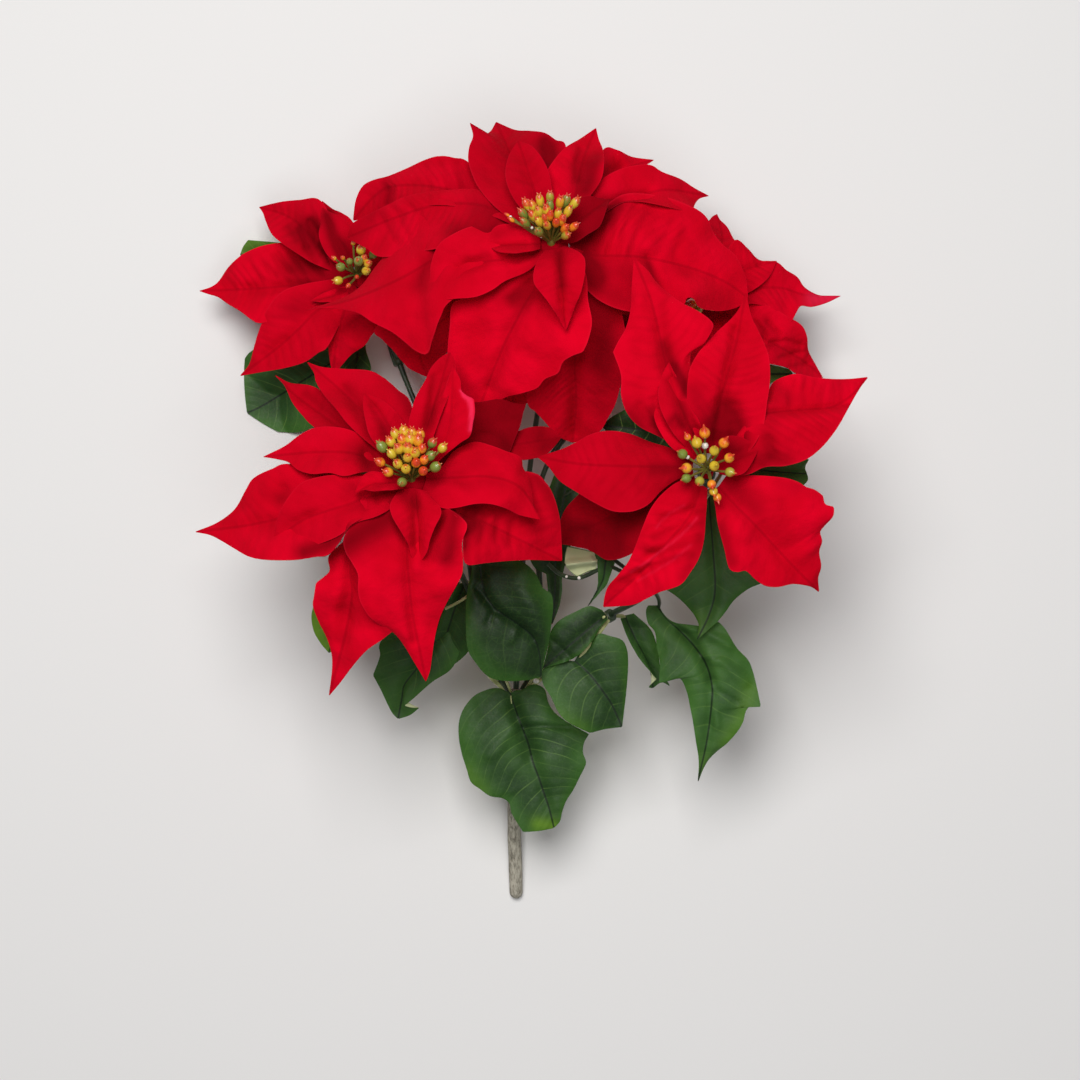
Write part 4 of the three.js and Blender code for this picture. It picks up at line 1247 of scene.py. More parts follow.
# %% Creases read from the photograph
CREASES = """
a0: 3 5 505,236 480,236 458,241 440,250 425,268 418,285 / 1.5 2.5 488,222 470,226 458,229
a1: 1 1.6 392,205 402,222 410,238 / 1 1.6 380,214 388,228 396,242 / 1 1.6 405,198 418,212 426,226
a2: 2.5 3 385,183 390,192 388,202 / 1.2 1.8 440,160 446,175 450,192 / 1.2 1.8 455,160 460,178 465,195 / 0.8 1.8
425,165 430,180 434,192
a3: 3 5 545,140 552,155 550,175
a5: 2 2.5 577,180 576,165 580,150
a6: 3 5 585,190 600,176 618,168
a7: 2 4 600,215 625,200 645,197
a8: 2.2 3 646,258 652,270 658,288 / 3 8 588,228 586,250 594,280 / 1.1 1.7 597,251 603,226 610,212 / 1.1 1.7
607,253 614,224 622,208 / 1.1 1.7 618,254 626,224 636,206 / 1 1.8 630,255 640,226 652,208 / 0.8 2.2 656,253
664,238 673,222 / 0.8 2.2 675,253 685,232
a11: 2 4 572,300 573,370 574,430
a14: 1.8 4 536,286 520,312 510,330 504,348 490,385 / 3 4 530,283 520,292 512,300 / 1.5 5 545,290 543,310 548,340
a15: 1.8 4 485,256 478,262 470,264 / 1.2 3 515,258 485,262 455,272
a16: 1 2 559,250 560,275 561,300
a17: 1 2 525,244 505,246 490,247
b0: 1.2 4 320,286 250,289 / 1.2 2 262,262 276,276 / 1.2 2 276,254 290,270 / 1.2 2 290,254 304,272 / 1.2 2
302,254 320,276 / 1 2 252,268 262,280
b1: 2.5 3 333,262 320,240 310,222 / -1.5 2 316,206 322,224 331,248 / 1.5 2 306,246 298,228 / 1.2 2.5 296,240
286,226 / 1.2 2 316,262 308,250
b2: 2.5 3 346,258 334,236 328,214
c0: 2.2 5 352,560 350,590 345,615 340,640 / 1.2 4 345,598 341,610
c1: 1.8 3 403,520 406,545 408,580 411,612 414,640 / 3 4 438,515 432,535 428,560 / -2 5 452,512 450,535 446,555
c2: 1.8 4 285,490 278,500 / 1.2 4 270,520 272,535
c3: 1 2 375,492 378,502 / 1 2 362,495 366,508
c4: 3 5 372,440 366,455 368,470
c5: 2 4 305,395 325,412 345,432
c6: 2 4 345,388 358,410 368,435
c7: 1.2 2.5 372,405 380,420 388,440
c8: 2 3 434,378 432,400 428,425
c10: 1.2 5 440,478 470,484 500,482 / 1 3 455,475 470,490
c11: 3 5 466,520 464,545 / 1 2 485,515 482,540 / 1 2 498,516 495,542 / 1 2 512,520 510,545 / 2 5 472,508 500,510
c12: 2 2.5 415,505 415,545 / 3 4 400,492 412,500
d1: 1.4 2.6 702,508 685,512 662,520 / 1.4 2.6 700,522 680,528 655,538 / 1.4 2.6 698,538 675,545 648,555 / 1.4
2.6 690,555 668,562 640,572 / -1 2 655,560 630,570 610,582
d2: 0.6 7 735,495 765,528 795,558
d3: 1.4 2 765,412 800,411 850,405 / 0.9 1.8 770,385 770,400 / 0.9 1.8 790,380 790,405 / 0.9 1.8 806,378 806,405
/ 2 4 768,440 772,455
d5: 2 3 718,440 722,400 730,360 735,330 / 4 7 728,408 738,428 733,448
e1: 1.5 1.6 755,322 765,332 762,345 / 1.5 1.6 768,322 780,334 / 1.5 1.6 764,346 785,340 800,345 / 1.2 1.6
780,358 800,352 / 1.2 1.6 790,368 806,364
d6: 2 4 655,260 662,275 668,290 / 1.5 4 660,300 662,340 668,370 / 1.5 2.5 640,405 655,425 / 1.5 2.5 655,400
668,428 / 1.5 2.5 665,390 680,420
d7: 2 3 672,380 685,405 700,440
leaves_1-0: 2 5 514,708 522,732 530,752 / 1.5 1.6 524,727 545,726 568,728 / -1.2 3 514,728 502,742 490,756 / 0.7
1.8 528,740 536,735
leaves_2-0: 1.5 2.2 476,588 495,610 515,622 532,636 / -1.5 6 524,570 528,600 538,630 / 1 2 492,612 488,622 /
-0.8 1.5 518,626 512,640
leaves_5-0: 2 2.5 680,628 694,644 704,662 711,680 / -1.4 2.4 702,656 722,662 745,682 / -1.4 2.4 676,626 704,631
730,646 / 1 1.4 704,660 715,658 / -1.2 2 712,688 714,705 717,726 / 1 1.8 713,688 726,695 738,702
leaves_5-1: 3.5 1.6 566,565 580,563 598,561
leaves_4-1: 1 2 552,640 565,652 572,660
"""
# Each shade line is painted shade: a shadow under an overlapping bract, in a fold or in a recess.
SHADES = """
a0: 0.6 8 455,240 492,236
a1: 0.35 9 372,215 350,236 / 0.5 8 520,218 480,207 / 0.8 8 500,236 460,236
a2: 0.4 5 384,192 384,210 / 0.3 7 470,168 462,185 / 0.6 8 520,215 510,195
a3: 0.5 8 545,225 535,195 520,165 / 0.5 6 545,168 545,150
a5: 0.65 6 572,215 580,190 586,165 / 0.5 4 589,190 595,172 599,158
a6: 0.2 6 580,210 592,185 598,172
a7: 1 8 566,238 584,224 598,214 / 0.4 5 612,206 622,204
a8: 0.5 6 576,232 590,222 604,212 / 0.5 5 606,222 618,204 / 0.6 7 572,240 584,262 600,290 622,300 / 0.45 7
596,272 622,272 / 0.4 5 586,232 600,215 616,204 / 0.4 3 648,264 655,284 / 0.25 3 677,267 686,274
a11: 0.9 10 592,295 604,320 604,355 / 0.4 9 604,370 598,415
a9: 0.5 9 588,290 598,330 600,360
a12: 0.3 4 500,424 522,418
a13: 0.2 6 440,310 455,300
a14: 0.45 9 500,292 524,300
a16: 0.5 3 560,254 562,272 563,285
a17: 0.3 4 498,234 512,228
b0: 0.8 9 345,276 318,268 296,266 / 0.5 6 305,290 322,300
b1: 0.85 8 345,266 325,244 312,228 / 0.35 6 296,232 306,248
b2: 0.7 8 350,262 336,240 328,218
b6: 0.7 3.5 327,217 332,236 341,253 / 0.5 5 352,264 344,246
b3: 0.45 7 345,288 315,300 292,308
c0: 0.6 5 332,550 345,550
c2: 0.9 5 305,552 325,545 350,532 / 0.25 4 268,495 285,500
c3: 0.3 5 352,490 362,500
c4: 0.5 6 398,474 372,462 355,450
c6: 0.6 6 402,385 412,410
c7: 0.4 5 398,455 385,430
c8: 0.35 3 424,430 432,410
c9: 0.45 5 424,460 433,438 443,418
c10: 0.2 4 452,470 480,462
c11: 0.8 6 470,508 472,526 / 0.5 5 536,478 550,492 556,508
c12: 0.35 3 414,494 418,508
c13: 0.35 4 380,486 400,482
c14: 0.6 8 476,420 500,410
c15: 0.4 4 545,447 556,442 / 0.4 6 515,440 540,432
c1: 0.8 5 455,512 446,556 / 1 10 338,550 356,535 376,525 398,512
d0: 0.55 5 655,470 678,469 / 0.3 5 690,470 700,472
d1: 0.45 4 706,515 700,545 684,576
d2: 0.6 4 721,528 731,562 / 0.5 7 735,488 755,505 / 0.35 5 780,483 796,488
d3: 0.7 6 742,455 765,461 785,461 / 0.35 8 768,400 768,440 / 0.3 4 778,385 790,400
d4: 0.5 6 720,440 735,450
d5: 0.7 9 724,420 736,440 730,460 / 0.5 6 694,392 704,420 / 0.6 6 714,428 708,442
d6: 0.6 4 664,346 670,360 680,377 690,398 / 0.6 2.5 675,366 681,380 687,393 / 0.4 7 640,425 680,448 / 0.6 2.5
652,408 655,424 661,438 / 0.4 6 622,405 636,424
d7: 0.3 5 680,410 695,435 / 0.5 2.5 667,424 675,417 682,426
d9: 0.5 9 575,535 612,545 / 0.5 7 625,520 660,505
e1: 0.35 5 765,326 772,346 / 0.3 3 745,320 760,332
"""
RAISES = {
    "a7": -8, "a8": 3, "a10": -4, "a11": 7, "a12": 7, "a13": 9, "a14": 2, "a15": -3, "a16": 6, "a17": 5,
    "b0": -2, "b3": 8, "b4": 12, "b5": -2, "c0": 1, "c1": 4, "c9": -1.5, "c11": 4, "c13": 4, "d7": 1.5,
    "d9": -3, "e0": -3, "e1": 8, "e5": 3,
}
# Blushes are mostly the real pink or yellow-green of the blade; the d1 lines are painted highlights on fold ridges.
BLUSHES_AND_HIGHLIGHTS = """
c9: 2.2 1.1 464,395 470,400 472,410 472,420 471,430 / 1.5 0.8 461,391 470,398
d1: 0.3 0.7 697,518 689,528 676,540 664,549 642,565 631,572 / 0.2 0.7 691,545 669,563 638,581 / 0.2 0.6 684,505
668,514 656,528
e0: 0.6 5 814,299 841,296
leaves_1-0: 0.45 4 538,824 553,826 / 0.15 5 468,772 482,790
leaves_5-0: 0.2 6 750,690 744,715 728,742 / 0.15 6 706,762 699,780
leaves_6-0: 0.15 5 700,620 698,638
leaves_4-0: 0.1 5 560,716 580,728
"""
# A dark value is painted shade over the whole blade; the blush of leaves_6-1 and leaves_10-0 is painted light.
FINISH = {
    "a0": {"strength": 0.05},
    "a1": {"strength": 0.35, "spacing": 5.0, "dark": 0.15},
    "a2": {"strength": 0.5, "spacing": 5.0, "dark": 0.15},
    "a3": {"dark": 0.35, "strength": 0.25},
    "a4": {"dark": 0.3, "strength": 0.3},
    "a6": {"dark": 0.0, "tone": 0.0},
    "a8": {"strength": 0.4, "spacing": 5.4, "halves": (1, 0.3), "fade": 0.7, "dark": 0, "tone": 0.2},
    "a9": {"dark": 0.95},
    "a10": {"dark": 0.4},
    "a11": {"strength": 0.5, "spacing": 5.2, "halves": (0.3, 1), "dark": 0.05},
    "a12": {"dark": 0.05, "tone": 0.2},
    "a13": {"dark": 0.0, "tone": 0.2},
    "a14": {"strength": 0.12, "rib_depth": 0.6, "dark": 0.0, "tip_bend": 5.0},
    "a15": {"strength": 0.08},
    "a18": {"dark": 0.9},
    "b0": {"strength": 0.5, "spacing": 6.0, "dark": 0.0, "tone": 0.1},
    "b1": {"strength": 0.5, "spacing": 5.5},
    "b3": {"strength": 0.35, "spacing": 6.0},
    "b4": {"dark": 0.0, "tone": 0.0},
    "b6": {"dark": 0.35},
    "c0": {"strength": 0.15, "dark": 0.0, "tone": 0.1},
    "c1": {"strength": 0.08, "rib_depth": 0.6, "dark": 0.0, "tone": 0.1},
    "c2": {"strength": 0.25},
    "c3": {"strength": 0.2},
    "c5": {"dark": 0.3},
    "c6": {"dark": 0.25},
    "c7": {"dark": 0.25},
    "c8": {"dark": 0.2},
    "c10": {"strength": 0.1},
    "c11": {"strength": 0.3, "dark": 0.15},
    "c14": {"dark": 1.0},
    "c15": {"dark": 0.4},
    "d0": {"strength": 0.4, "spacing": 6.5, "dark": 0.3},
    "d1": {"strength": 0.5, "spacing": 8.0, "dark": 0.0, "tone": 0.0},
    "d2": {"strength": 0.12, "dark": 0.0, "tone": 0.1},
    "d3": {"strength": 0.4, "spacing": 6.0, "dark": 0.0, "tone": 0.2},
    "d4": {"dark": 0.5},
    "d5": {"strength": 0.4, "spacing": 5.5},
    "d6": {"strength": 0.3},
    "d9": {"dark": 0.6},
    "e0": {"strength": 0.35, "spacing": 5.0},
    "e1": {"strength": 0.3, "spacing": 4.8, "dark": 0.0, "tone": 0.0},
    "e5": {"dark": 0.0, "tone": 0.0},
    "e2": {"strength": 0.6, "spacing": 5.0},
    "e3": {"strength": 0.6, "spacing": 5.0},
    "leaves_1-0": {"tone": 0.5, "strength": 0.55, "spacing": 6.3},
    "leaves_2-0": {"tone": 1.0, "strength": 0.15},
    "leaves_2-1": {"tone": 0.6, "strength": 0.2},
    "leaves_2-2": {"tone": 0.3, "strength": 0.3},
    "leaves_4-0": {"tone": 0.65, "strength": 0.45, "spacing": 6.5},
    "leaves_4-1": {"tone": 1.0, "strength": 0.1},
    "leaves_4-2": {"tone": 0.5, "strength": 0.2},
    "leaves_5-0": {"tone": 0.0, "strength": 0.35, "spacing": 7.0},
    "leaves_6-0": {"tone": 0.15, "strength": 0.25},
    "leaves_5-2": {"tone": 0.1, "strength": 0.05},
    "leaves_6-1": {"tone": 0.0, "strength": 0.2, "blush": 0.12},
    "leaves_7-0": {"tone": 1.0, "strength": 0.1},
    "leaves_10-0": {"tone": 0.0, "strength": 0.1, "blush": 0.12},
    "leaves_3-0": {"tone": 0.0, "blush": 0.5},
    "leaves_9-2": {"tone": 0.0, "blush": 0.3},
}


def read_marks(text):
    """The marks of each blade: an amount, a half width in millimetres and a line of picture points."""
    marks = {}
    for name, words in read_table(text).items():
        rows = [row.split(None, 2) for row in words.split("/")]
        marks[name] = [(float(amount), float(wide), read_points(line)) for amount, wide, line in rows]
    return marks


def marks_of(name):
    """The creases, painted shades, and blushes and painted highlights of one blade. A crease also holds a little
    painted shadow.
    """
    creases = CREASE_MARKS.get(name, [])
    shadows = [(CREASE_SHADE * depth, wide * 0.8, line) for depth, wide, line in creases if depth > 0]
    return {"creases": creases, "shades": SHADE_MARKS.get(name, []) + shadows, "blushes_and_highlights": BLUSH_AND_HIGHLIGHT_MARKS.get(name, [])}


CREASE_MARKS, SHADE_MARKS, BLUSH_AND_HIGHLIGHT_MARKS = (read_marks(text) for text in (CREASES, SHADES, BLUSHES_AND_HIGHLIGHTS))
print("creases", sum(len(marks) for marks in CREASE_MARKS.values()))

# %% [markdown]
# ## The blooms
#
# Each bract becomes a fine sheet from its row of the table. Large ones get more rows of faces than small
# ones. A fixed seed for each bloom varies the tone, the pleats and the waves from bract to bract.

# %% Make the blooms
BRACT_ROWS = 82
BRACT_COLUMNS = 32
SMALL_ROWS = 44
SMALL_COLUMNS = 22
LARGE_LENGTH = 60.0
BRACT_SEED = 40


def sheet_part(blade, random):
    """One blade as a part for build_mesh."""
    large = np.linalg.norm(blade["tip"]) > LARGE_LENGTH
    size = (BRACT_ROWS, BRACT_COLUMNS) if large else (SMALL_ROWS, SMALL_COLUMNS)
    points, faces, labels = blade_mesh(blade, *size, random)
    return {"points": points, "faces": faces, "material": 0, "attributes": labels}


def dress_bract(row, letter, number, random):
    """A row of the table with the details that the press and the hand give it."""
    bloom = BLOOMS[letter]
    name = f"{letter}{number}"
    axis = unit(np.array(bloom["facing"], float))
    small = np.linalg.norm(row["tip"]) < LARGE_LENGTH
    return {
        **row,
        **read_outline(name),
        "shape": BRACT_SHAPE,
        "facing": bloom["facing"],
        "base": np.array(bloom["hub"], float) + axis * row["level"],
        "spacing": 5.0 if small else 7.0,
        "pleat": 0.0,
        "strength": random.uniform(0.1, 0.25),
        "halves": (1, 1),
        "rib_depth": 1.2 if small else 1.8,
        "rib_reach": 2.2 if small else 4.0,
        "ruffle": random.uniform(0.8, 1.8),
        "waves": random.uniform(1.5, 3.0),
        "crumple": 2.5 if small else 5.5,
        "tip_bend": random.uniform(-3.0, 1.0),
        "tone": random.uniform(0, 1),
        "blush": 0.0,
        # a slight random darker tone, under the painted shade that the finishes and shade lines add
        "dark": random.uniform(0, 0.15),
        "seed": number * 3.7,
        "raise": RAISES.get(name, 0),
        **marks_of(name),
        **FINISH.get(name, {}),
    }


KNOB_RISES = np.array([-6.0, -5.2, -2.5, -1.2, 0.0, 0.8])
KNOB_SHARES = np.array([0.8, 1.0, 1.0, 0.85, 0.6, 0.3])
KNOB_RADII = {"a": 9.5, "b": 6.0, "c": 8.0, "d": 3.5, "e": 6.0}
for turn, (letter, bloom) in enumerate(BLOOMS.items()):
    random = np.random.default_rng(BRACT_SEED + turn)
    rows = [dress_bract(row, letter, number, random) for number, row in enumerate(bloom["bracts"])]
    fabric = build_mesh(f"fabric_{letter}", [sheet_part(row, random) for row in rows], [velvet])
    fabric_mesh = fabric.data
    bpy.data.objects.remove(fabric)
    axis = unit(np.array(bloom["facing"], float))
    knob_track = np.array(bloom["hub"], float) + axis * KNOB_RISES[:, None]
    knob = tubes("knob", [(knob_track, KNOB_RADII[letter] * KNOB_SHARES)], 24, velvet)
    finish_piece(join_meshes(f"bracts_{letter}", [fabric_mesh, knob]), f"bloom_{letter}")

# %% [markdown]
# ## The wires
#
# A thin sleeved wire runs from the crown to each bloom and ends in a small green cup under it. The path is
# the same smooth curve as in the part, and the tube tree gives it a round section.


# %% Make the wires
CURVE_STEPS = 24
WIRE_POINTS = 60
RIDGE_DEPTH = 0.12
RIDGE_TURNS = 50
CUP_RISES = np.array([-9, -7.5, -5.5, -3.5, -1.8, -0.8, 0])
CUP_RADII = np.array([1.7, 2.1, 3.0, 4.0, 4.8, 5.0, 4.7])


def catmull_rom(points, count):
    """Points along a smooth curve through some points, evenly spaced by length."""
    knots = [np.array(point, float) for point in points]
    knots = [2 * knots[0] - knots[1], *knots, 2 * knots[-1] - knots[-2]]
    track = []
    for p0, p1, p2, p3 in zip(knots, knots[1:], knots[2:], knots[3:]):
        t1 = np.linalg.norm(p1 - p0) ** 0.5
        t2 = t1 + np.linalg.norm(p2 - p1) ** 0.5
        t3 = t2 + np.linalg.norm(p3 - p2) ** 0.5
        for t in np.linspace(t1, t2, CURVE_STEPS, endpoint=False):
            a1 = (t1 - t) / t1 * p0 + t / t1 * p1
            a2 = (t2 - t) / (t2 - t1) * p1 + (t - t1) / (t2 - t1) * p2
            a3 = (t3 - t) / (t3 - t2) * p2 + (t - t2) / (t3 - t2) * p3
            b1 = (t2 - t) / t2 * a1 + t / t2 * a2
            b2 = (t3 - t) / (t3 - t1) * a2 + (t - t1) / (t3 - t1) * a3
            track.append((t2 - t) / (t2 - t1) * b1 + (t - t1) / (t2 - t1) * b2)
    track.append(knots[-2])
    track = np.array(track)
    travelled = np.concatenate([[0], np.cumsum(np.linalg.norm(np.diff(track, axis=0), axis=1))])
    wanted = np.linspace(0, travelled[-1], count)
    return np.stack([np.interp(wanted, travelled, track[:, axis]) for axis in range(3)], axis=-1)


def branch_track(bloom, count=WIRE_POINTS):
    """The path of a wire, from its socket in the crown to the cup under its bloom."""
    axis = unit(np.array(bloom["facing"], float))
    end = np.array(bloom["hub"]) - axis * (HUB_HALF_HEIGHT + GAP + 1)
    start = CROWN + unit(np.array(bloom["route"][0]) - CROWN) * SOCKET_REACH
    return catmull_rom([start, *bloom["route"], end], count)


for letter, bloom in BLOOMS.items():
    axis = unit(np.array(bloom["facing"], float))
    seat = np.array(bloom["hub"]) - axis * (HUB_HALF_HEIGHT + GAP)
    track = branch_track(bloom)
    ridges = WIRE_RADIUS + RIDGE_DEPTH * np.sin(np.linspace(0, RIDGE_TURNS, len(track)))
    cup = seat + axis * CUP_RISES[:, None]
    wire = bpy.data.objects.new(f"wire_{letter}", tubes("wire", [(track, ridges), (cup, CUP_RADII)], 14, sleeve))
    scene.collection.objects.link(wire)
    finish_piece(wire, f"branch_{letter}")

# %% [markdown]
# ## The berries
#
# The middle of a bloom is a bunch of small ovoid berries on thin stalks that all spring from one dome. A
# berry is turned from a profile, with a pointed tip. A Geometry Nodes tree places one on each stalk: the
# points carry attributes for the way a berry points, its size and its tone.

# %% Build the berry
OVAL_PROFILE = [
    (0.0, -3.2), (0.9, -3.0), (1.8, -2.3), (2.45, -1.2), (2.7, 0.1), (2.55, 1.3), (2.1, 2.3), (1.5, 3.0),
    (0.95, 3.4), (0.5, 3.8), (0.0, 3.9),
]
POINTED_PROFILE = [
    (0.0, -3.2), (1.2, -3.0), (2.3, -2.2), (3.0, -0.9), (3.2, 0.4), (2.85, 1.7), (2.1, 2.8), (1.3, 3.7),
    (0.85, 4.8), (0.5, 6.2), (0.0, 7.0),
]
SLIM_PROFILE = [
    (0.0, -4.4), (0.8, -4.2), (1.5, -3.4), (2.05, -2.0), (2.25, -0.4), (2.2, 1.0), (1.9, 2.2), (1.4, 3.0),
    (0.95, 3.4), (0.5, 3.8), (0.0, 3.9),
]
BERRY_SIDES = 12
PISTIL_PROFILE = [(0.0, 0.0), (0.5, 0.2), (0.42, 0.9), (0.15, 1.5), (0.0, 1.6)]
PISTIL_SIDES = 5


def turn_profile(profile, sides):
    """A closed turned mesh from radii and heights that start and end on the axis."""
    angles = np.arange(sides) * 2 * np.pi / sides
    rings = [[[r * math.cos(a), r * math.sin(a), z] for a in angles] for r, z in profile[1:-1]]
    points = np.array([[0, 0, profile[0][1]], *sum(rings, []), [0, 0, profile[-1][1]]])
    faces = []
    last = len(points) - 1
    for side in range(sides):
        after = (side + 1) % sides
        faces.append([0, 1 + after, 1 + side])
        faces.append([last, last - sides + side, last - sides + after])
        for ring in range(len(rings) - 1):
            low = 1 + ring * sides
            faces.append([low + side, low + after, low + sides + after, low + sides + side])
    return points, faces


def berry_shape(name, profile, pistils):
    """One berry as an object, with the rise of each point from its stalk to its tip."""
    points, faces = turn_profile(profile, BERRY_SIDES)
    for pistil in range(pistils):
        spike, spike_faces = turn_profile(PISTIL_PROFILE, PISTIL_SIDES)
        turned = 2 * np.pi * pistil / pistils + 0.4
        lean = np.array([math.cos(turned), math.sin(turned), 0.0])
        spike = spike + np.array([0, 0, 3.0]) + lean * (0.5 + 0.5 * spike[:, 2:3])
        faces = faces + [[corner + len(points) for corner in face] for face in spike_faces]
        points = np.concatenate([points, spike])
    mesh = bpy.data.meshes.new(name)
    mesh.from_pydata((points * MM).tolist(), [], faces)
    share = (points[:, 2] - points[:, 2].min()) / np.ptp(points[:, 2])
    mesh.attributes.new("rise", "FLOAT", "POINT").data.foreach_set("value", share.astype(np.float32))
    mesh.polygons.foreach_set("use_smooth", np.ones(len(mesh.polygons), bool))
    print(name, "has", len(faces), "faces")
    return bpy.data.objects.new(name, mesh)


oval_berry = berry_shape("oval_berry", OVAL_PROFILE, 3)
pointed_berry = berry_shape("pointed_berry", POINTED_PROFILE, 0)
slim_berry = berry_shape("slim_berry", SLIM_PROFILE, 3)

bunch_tree, bunch_in, bunch_out = new_geometry_tree(
    "berries_on_points", {"Berry": "NodeSocketObject", "Material": "NodeSocketMaterial"}
)
aim = add_node(bunch_tree, "GeometryNodeInputNamedAttribute", {"data_type": "FLOAT_VECTOR"}, Name="aim")
size = add_node(bunch_tree, "GeometryNodeInputNamedAttribute", {"data_type": "FLOAT"}, Name="size")
source = add_node(bunch_tree, "GeometryNodeObjectInfo", Object=bunch_in.outputs["Berry"])
turned_to = add_node(bunch_tree, "FunctionNodeAlignRotationToVector", {"axis": "Z"}, Vector=aim.outputs[0])
placed = add_node(
    bunch_tree, "GeometryNodeInstanceOnPoints", Points=bunch_in.outputs["Geometry"],
    Instance=source.outputs["Geometry"], Rotation=turned_to.outputs[0], Scale=size.outputs[0],
)
real = add_node(bunch_tree, "GeometryNodeRealizeInstances", _0=placed.outputs[0])
painted = add_node(bunch_tree, "GeometryNodeSetMaterial", _0=real.outputs[0], Material=bunch_in.outputs["Material"])
bunch_tree.links.new(painted.outputs[0], bunch_out.inputs[0])
print("berry tree", bunch_tree.name)

# %% [markdown]
# The berries that show in the photograph were placed one by one: each has its picture point, then its
# tone from 0 for green through 5 for yellow to 9 for orange, how rosy it is, and its size where it is a small
# one. A berry far from the middle of its bunch hangs lower. The bloom at the right shows only two berries,
# and its other three are a guess.

# %% Hang the berries on their stalks
BERRY_HEADS = {
    "a": (
        "550,197,3,4 550,206,2,1 540,200,6,5 533,206,5,6 527,204,6,9 539,212,4,3 523,213,1,6 525,222,2,5 "
        "511,218,8,9,0.5 507,213,8,9,0.4 560,202,7,5 566,200,2,5 575,202,4,7 568,211,6,4 558,214,5,4 550,216,8,9 "
        "539,222,6,4 556,223,8,9 539,232,1,1 565,228,8,7 574,226,8,9 566,235,3,5 547,211,5,6 547,226,4,4 "
        "533,216,4,6 562,220,7,8 545,219,6,7"
    ),
    "b": (
        "361,250,5,4 373,254,0,0 341,267,1,1 338,280,4,2 368,264,6,7 366,271,4,3 359,262,2,2 350,262,0,0,0.8 "
        "357,277,8,9,0.5 348,285,8,9,0.5 353,243,6,9,0.5 334,258,6,9,0.5 343,258,7,9,0.5 364,259,5,6,0.8"
    ),
    "c": (
        "382,447,2,2 395,434,4,6 404,432,6,5 412,433,6,6 420,435,7,5 402,440,7,7 410,440,6,4 418,441,7,7 "
        "399,449,6,4 422,449,8,7 392,454,4,2 408,449,6,5 442,448,4,3 432,443,1,6 430,456,1,1 408,458,6,4 "
        "380,462,8,9 416,463,9,9 424,460,8,7 398,464,5,4 406,469,5,3 388,472,7,7 435,467,2,1 423,471,8,9 "
        "402,482,2,1 415,453,6,5 391,442,5,5"
    ),
    "d": (
        "705,433,8,8 688,437,8,9,0.65 697,443,6,3 724,443,8,9 683,454,1,1 714,451,4,1 701,459,4,0 714,466,5,0 "
        "729,458,7,7 730,472,3,5 687,468,7,8 687,478,1,3 700,481,3,4 712,484,9,9 714,491,6,4,0.8 718,497,8,8,0.75"
    ),
    "e": "692,304,9,6,1.15 698,310,3,2 703,300,5,5 710,302,5,5 706,296,5,5",
}
BUNCH_LOOKS = {
    "a": (slim_berry, 1.0), "b": (oval_berry, 0.98), "c": (oval_berry, 1.02), "d": (pointed_berry, 0.86),
    "e": (oval_berry, 0.95),
}
BERRY_SEED = 80
BERRY_STALK_POINTS = 12
DOME_RISES = np.array([-1.5, 0.0, 2.0, 4.0, 5.0])
DOME_RADII = np.array([1.8, 2.4, 2.2, 1.4, 0.5])
DROP_LEAN = np.array([0.6, 0.2, 0.77])
DROP_RISES = np.array([-0.9, -0.7, 0.0, 0.7, 0.9])
DROP_RADII = np.array([0.3, 0.75, 1.0, 0.75, 0.3])
GLUE_DROPS = {"a": "511,218,0.8 533,228,0.9 538,245,0.8", "b": "352,272,0.8", "d": "704,446,2 684,462,1.2"}


def read_heads(letter, bloom):
    """Each berry of a bunch as its place beside the hub, its tone, how rosy it is and its size."""
    hub = np.array(bloom["hub"], float)
    middle = hub + np.array([*bloom["bunch"], 0.0])
    rows = []
    for word in BERRY_HEADS[letter].split():
        x, y, tint, rosy, *share = [float(value) for value in word.split(",")]
        beside = under_picture(np.array([x, y]), hub[2] + 0.8 * BUNCH_HEIGHT) - middle
        rows.append((beside[0], beside[1], tint / 9, rosy / 9, share[0] if share else 1.0))
    return rows


def berry_places(rows, bloom, random):
    """Where each berry of a bunch sits, the way it points, and its stalk's path."""
    axis = unit(np.array(bloom["facing"], float))
    hub = np.array(bloom["hub"], float)
    heads, aims, stalks = [], [], []
    for x, y, *_ in rows:
        height = BUNCH_HEIGHT - math.hypot(x, y) * BUNCH_FALL + random.uniform(-1.2, 0.8)
        head = hub + np.array([bloom["bunch"][0] + x, bloom["bunch"][1] + y, height])
        root = hub + axis * 1.5 + np.array([x * 0.06, y * 0.06, 0])
        direction = unit(head - root)
        bend = root + (head - root) * 0.45 + random.uniform(-0.6, 0.6, 3)
        heads.append(head)
        aims.append(direction + random.uniform(-0.12, 0.12, 3))
        stalks.append(catmull_rom([root - axis * 2.5, root, bend, head - direction * 2.2], BERRY_STALK_POINTS))
    return heads, aims, stalks


def glue_drops(text, stalks):
    """Small drops of set glue with their sizes, each moved onto the nearest stalk."""
    track = np.concatenate(stalks)
    seen = seen_at(track)
    paths = []
    for *spot, size in read_points(text):
        place = track[np.argmin(np.linalg.norm(seen - spot, axis=1))]
        along = DROP_RISES[:, None] * DROP_LEAN * size
        paths.append((place + np.array([0, 0, 0.8]) + along, DROP_RADII * size))
    return paths


